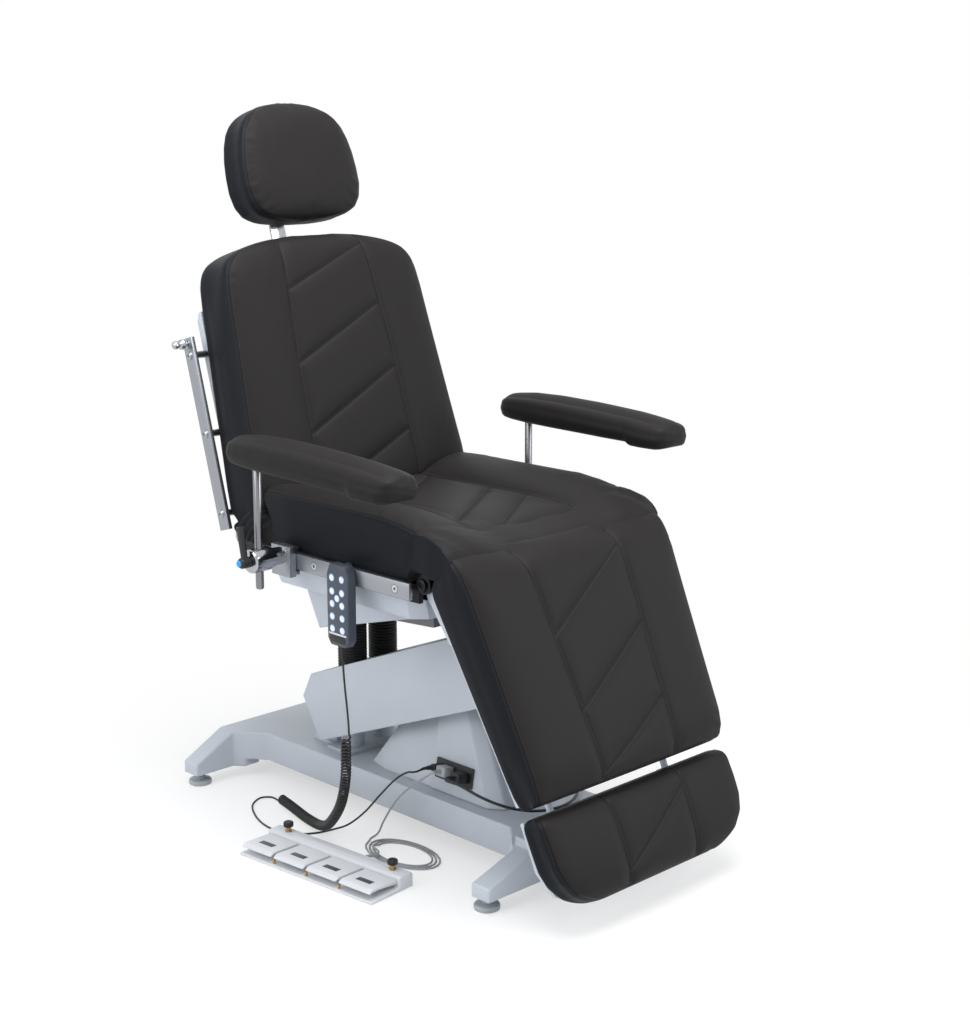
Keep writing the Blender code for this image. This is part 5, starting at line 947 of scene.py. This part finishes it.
def route(points, step):
    """Evenly spaced points on a smooth curve through the given points."""
    points = [Vector(p) for p in points]
    fine = []
    for i in range(len(points) - 1):
        a, b, c, d = points[max(i - 1, 0)], points[i], points[i + 1], points[min(i + 2, len(points) - 1)]
        for k in range(ROUTE_STEPS):
            t = k / ROUTE_STEPS
            fine.append(0.5 * (2.0 * b + (c - a) * t + (2.0 * a - 5.0 * b + 4.0 * c - d) * t * t
                               + (3.0 * b - a - 3.0 * c + d) * t * t * t))
    fine.append(points[-1])
    runs = running(fine)
    count = max(2, round(runs[-1] / step))
    return [point_at(fine, runs, runs[-1] * i / count) for i in range(count + 1)]


def cord_line(name, points, thickness, material):
    """Round cord as a curve of one open spline."""
    curve = bpy.data.curves.new(name, "CURVE")
    curve.dimensions = "3D"
    curve.bevel_depth = thickness / 2.0
    curve.bevel_resolution = 3
    curve.use_fill_caps = True
    spline = curve.splines.new("POLY")
    spline.points.add(len(points) - 1)
    for slot, point in zip(spline.points, points):
        slot.co = (*point, 1.0)
    curve.materials.append(material)
    return placed(name, curve)


def as_mesh(obj):
    """The same object with its curve turned into a mesh."""
    mesh = bpy.data.meshes.new_from_object(obj.evaluated_get(bpy.context.evaluated_depsgraph_get()))
    name = obj.name
    bpy.data.objects.remove(obj)
    for polygon in mesh.polygons:
        polygon.use_smooth = True
    return placed(name, mesh)


def boot(name, points, wide, thin, length, material, body):
    """Ribbed strain relief that tapers along the first stretch of a cord."""
    path = route(points, BOOT_STEP)[:round(length / BOOT_STEP) + 1]
    made = cord_line(name, path, thin, material)
    for i, spot in enumerate(made.data.splines[0].points):
        share = i / (len(path) - 1)
        groove = BOOT_GROOVE * (1.0 - 0.6 * share) if i % 4 > 1 else 0.0
        spot.radius = (wide + (thin - wide) * share) / thin - groove
    made = as_mesh(made)
    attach(made, body)
    return made


HANDSET_CORD = 0.0048
CURL_RADIUS, CURL_TURNS, CURL_POINTS, CURL_EASE, CURL_MARGIN = 0.0100, 76, 16, 0.03, 0.010
curl_path = route([(-0.363, -0.029, 0.3297), (-0.362, -0.028, 0.280), (-0.358, -0.020, 0.210),
                   (-0.345, 0.015, 0.135), (-0.315, 0.090, 0.062), (-0.285, 0.160, 0.026),
                   (-0.262, 0.240, 0.0140), (-0.240, 0.330, 0.0140), (-0.225, 0.400, 0.0140)], 0.008)
marks = running(curl_path)
spots, k, side = [], 0, Vector((1.0, 0.0, 0.0))
for i in range(CURL_TURNS * CURL_POINTS + 1):
    along = CURL_MARGIN + (marks[-1] - 2.0 * CURL_MARGIN) * i / (CURL_TURNS * CURL_POINTS)
    while k < len(curl_path) - 3 and marks[k + 1] < along:
        k += 1
    share = (along - marks[k]) / (marks[k + 1] - marks[k])
    ahead = (curl_path[k + 1] - curl_path[k]).lerp(curl_path[k + 2] - curl_path[k + 1], share).normalized()
    side = (side - ahead * side.dot(ahead)).normalized()
    spots.append((curl_path[k].lerp(curl_path[k + 1], share), side, ahead.cross(side)))
# The winding starts and stops gently at its own outside, and ends on the floor.
whole = 2.0 * math.pi * CURL_TURNS + math.atan2(-spots[-1][2].z, -spots[-1][1].z) % (2.0 * math.pi)
curl = []
for i, (centre, side, other) in enumerate(spots):
    share = i / (len(spots) - 1)
    wound = share - CURL_EASE / 2.0
    if share < CURL_EASE:
        wound = share ** 2 / (2.0 * CURL_EASE)
    elif share > 1.0 - CURL_EASE:
        wound = 1.0 - CURL_EASE - (1.0 - share) ** 2 / (2.0 * CURL_EASE)
    swing = whole * wound / (1.0 - CURL_EASE)
    curl.append(centre + (side * math.cos(swing) + other * math.sin(swing)) * CURL_RADIUS)
hang = [Vector(p) for p in ((-0.368, -0.030, 0.5297), (-0.368, -0.030, 0.500), (-0.364, -0.030, 0.440),
                            (-0.357, -0.029, 0.380), (-0.3535, -0.029, 0.340))] + curl[:1]
loop = route([curl[-1], curl[-1] + ahead * 0.016, (-0.222, 0.432, 0.003), (-0.246, 0.447, 0.003),
              (-0.290, 0.420, 0.003), (-0.326, 0.360, 0.003), (-0.345, 0.300, 0.003),
              (-0.345, 0.250, 0.003), (-0.325, 0.205, 0.003), (-0.290, 0.175, 0.0035),
              (-0.250, 0.158, 0.006), (-0.225, 0.130, 0.020), (-0.208, 0.090, 0.058),
              (-0.200, 0.040, 0.115), (-0.198, -0.010, 0.165), (-0.192, -0.045, 0.190),
              socket @ Vector((-0.085, 0.046, -0.004)), socket @ Vector((-0.062, 0.044, 0.003))], 0.010)
line = route(hang, 0.012)[:-1] + curl + loop[1:] + [socket @ Vector((-0.0485, 0.044, 0.004))]
handset_cord = as_mesh(cord_line("handset_cord", line, HANDSET_CORD, black_jacket))
boots = [boot("handset_boot", line[:6], 0.0094, 0.0060, 0.028, rubber, "carriage"),
         boot("handset_plug_boot", line[:-8:-1], 0.0088, 0.0060, 0.022, rubber, "base")]
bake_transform(handset_cord)
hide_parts("handset_cord_hang", "handset_cord_curl", "handset_cord_floor")


# Footswitch cord
# Grey PVC cord, 4.8 mm thick, from the connector down to the floor, three loose loops
# beside the base and into the gland at the back of the footswitch.
def flat_coil(centre, first, last, turns, per_turn, stretch, start, height):
    """Points of a coil that lies on the floor, wound inwards."""
    points = []
    for i in range(int(turns * per_turn) + 1):
        share = i / int(turns * per_turn)
        turn = 2.0 * math.pi * turns * share + math.radians(start)
        size = first + (last - first) * share
        across, along = size * math.cos(turn), stretch * size * math.sin(turn)
        points.append(Vector((centre[0] + across, centre[1] + along, height)))
    return points


# The same jacket in grey.
grey_jacket = surface("grey_pvc_jacket", "#93969a", "#9a9da0", (0.40, 0.54), 1.1, 0.03)
FOOTSWITCH_CORD = 0.0048
coil = flat_coil((-0.222, -0.062), 0.064, 0.045, 3.0, 24, 1.75, 100.0, 0.0032)
ahead = (coil[0] - coil[1]).normalized()
drop = route([socket @ Vector((-0.056, 0.015, 0.002)), (-0.182, -0.045, 0.152), (-0.190, 0.000, 0.105),
              (-0.190, 0.042, 0.045), (-0.192, 0.060, 0.010),
              coil[0] + ahead * 0.018 + Vector((0.0, 0.001, 0.0006))],
             0.008)
tail = route([coil[-1], coil[-1] + Vector((-0.012, -0.002, 0.004)),
              coil[-1] + Vector((-0.030, -0.012, 0.0105)), (-0.270, -0.030, 0.0115),
              (-0.295, -0.040, 0.012), switch @ Vector((0.092, -0.050, 0.018)),
              switch @ Vector((0.0803, -0.050, 0.018))], 0.008)
line = [socket @ Vector((-0.0465, 0.015, 0.002))] + drop + [coil[0] + ahead * 0.008] + coil + tail[1:]
footswitch_cord = cord_line("footswitch_cord_line", line, FOOTSWITCH_CORD, grey_jacket)
boots = [boot("footswitch_plug_boot", line[:6], 0.0088, 0.0060, 0.022, grey_abs, "base"),
         boot("footswitch_gland_boot", line[:-8:-1], 0.0088, 0.0060, 0.020, grey_abs, "base")]
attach(footswitch_cord, "base")
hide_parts("footswitch_cord", "footswitch_coil")

# Mains lead
# Black PVC lead, 7 mm thick: out of its connector, round the front of the tower and down
# on the far side, where the rest lies in a neat coil behind the leg section.
MAINS_LEAD = 0.007
coil_centre = Vector((0.262, -0.150, 0.0))
COIL_FIRST, COIL_LAST, COIL_START, COIL_LIE = 0.072, 0.046, 270.0, 0.0042
TAIL_STEPS, TAIL_SHRINK, TAIL_RISE = 12, 0.016, 0.0194
coil = flat_coil(coil_centre, COIL_FIRST, COIL_LAST, 3.0, 24, 1.0, COIL_START, COIL_LIE)
ahead = (coil[0] - coil[1]).normalized()
elbow = [socket @ Vector(p) for p in ((-0.0545, -0.037, 0.0), (-0.0580, -0.037, 0.0), (-0.0640, -0.0387, 0.0),
                                      (-0.0680, -0.043, 0.0), (-0.0695, -0.049, 0.0), (-0.0695, -0.060, 0.0),
                                      (-0.0695, -0.082, -0.001))]
over = route([elbow[-2], elbow[-1], (-0.1665, -0.215, 0.1885), (-0.157, -0.250, 0.177),
              (-0.137, -0.282, 0.164), (-0.104, -0.309, 0.150), (-0.060, -0.329, 0.139),
              (-0.005, -0.339, 0.133), (0.050, -0.334, 0.1315), (0.098, -0.311, 0.1325),
              (0.132, -0.281, 0.1345), (0.155, -0.258, 0.125), (0.170, -0.243, 0.098),
              (0.183, -0.233, 0.064), (0.199, -0.226, 0.033), (0.219, -0.223, 0.013),
              coil[0] + ahead * 0.022 + Vector((0.0, 0.0, 0.0022))], 0.010)
tail = []
for i in range(1, TAIL_STEPS + 1):
    share = i / TAIL_STEPS
    size = COIL_LAST - TAIL_SHRINK * share
    swing = math.radians(COIL_START) + math.pi * share
    rise = COIL_LIE + TAIL_RISE * smooth_step(share)
    tail.append(coil_centre + Vector((size * math.cos(swing), size * math.sin(swing), rise)))
tail.append(tail[-1] + Vector((-0.010, 0.0, 0.0)))
line = over + [coil[0] + ahead * 0.010] + coil + tail
mains_lead = cord_line("mains_lead", line, MAINS_LEAD, black_jacket)
boots = [boot("mains_connector_boot", elbow, 0.0125, 0.0084, 0.044, rubber, "base"),
         boot("mains_plug_boot", line[:-12:-1], 0.0125, 0.0084, 0.030, rubber, "base")]
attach(mains_lead, "base")
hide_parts("mains_cord", "mains_coil")
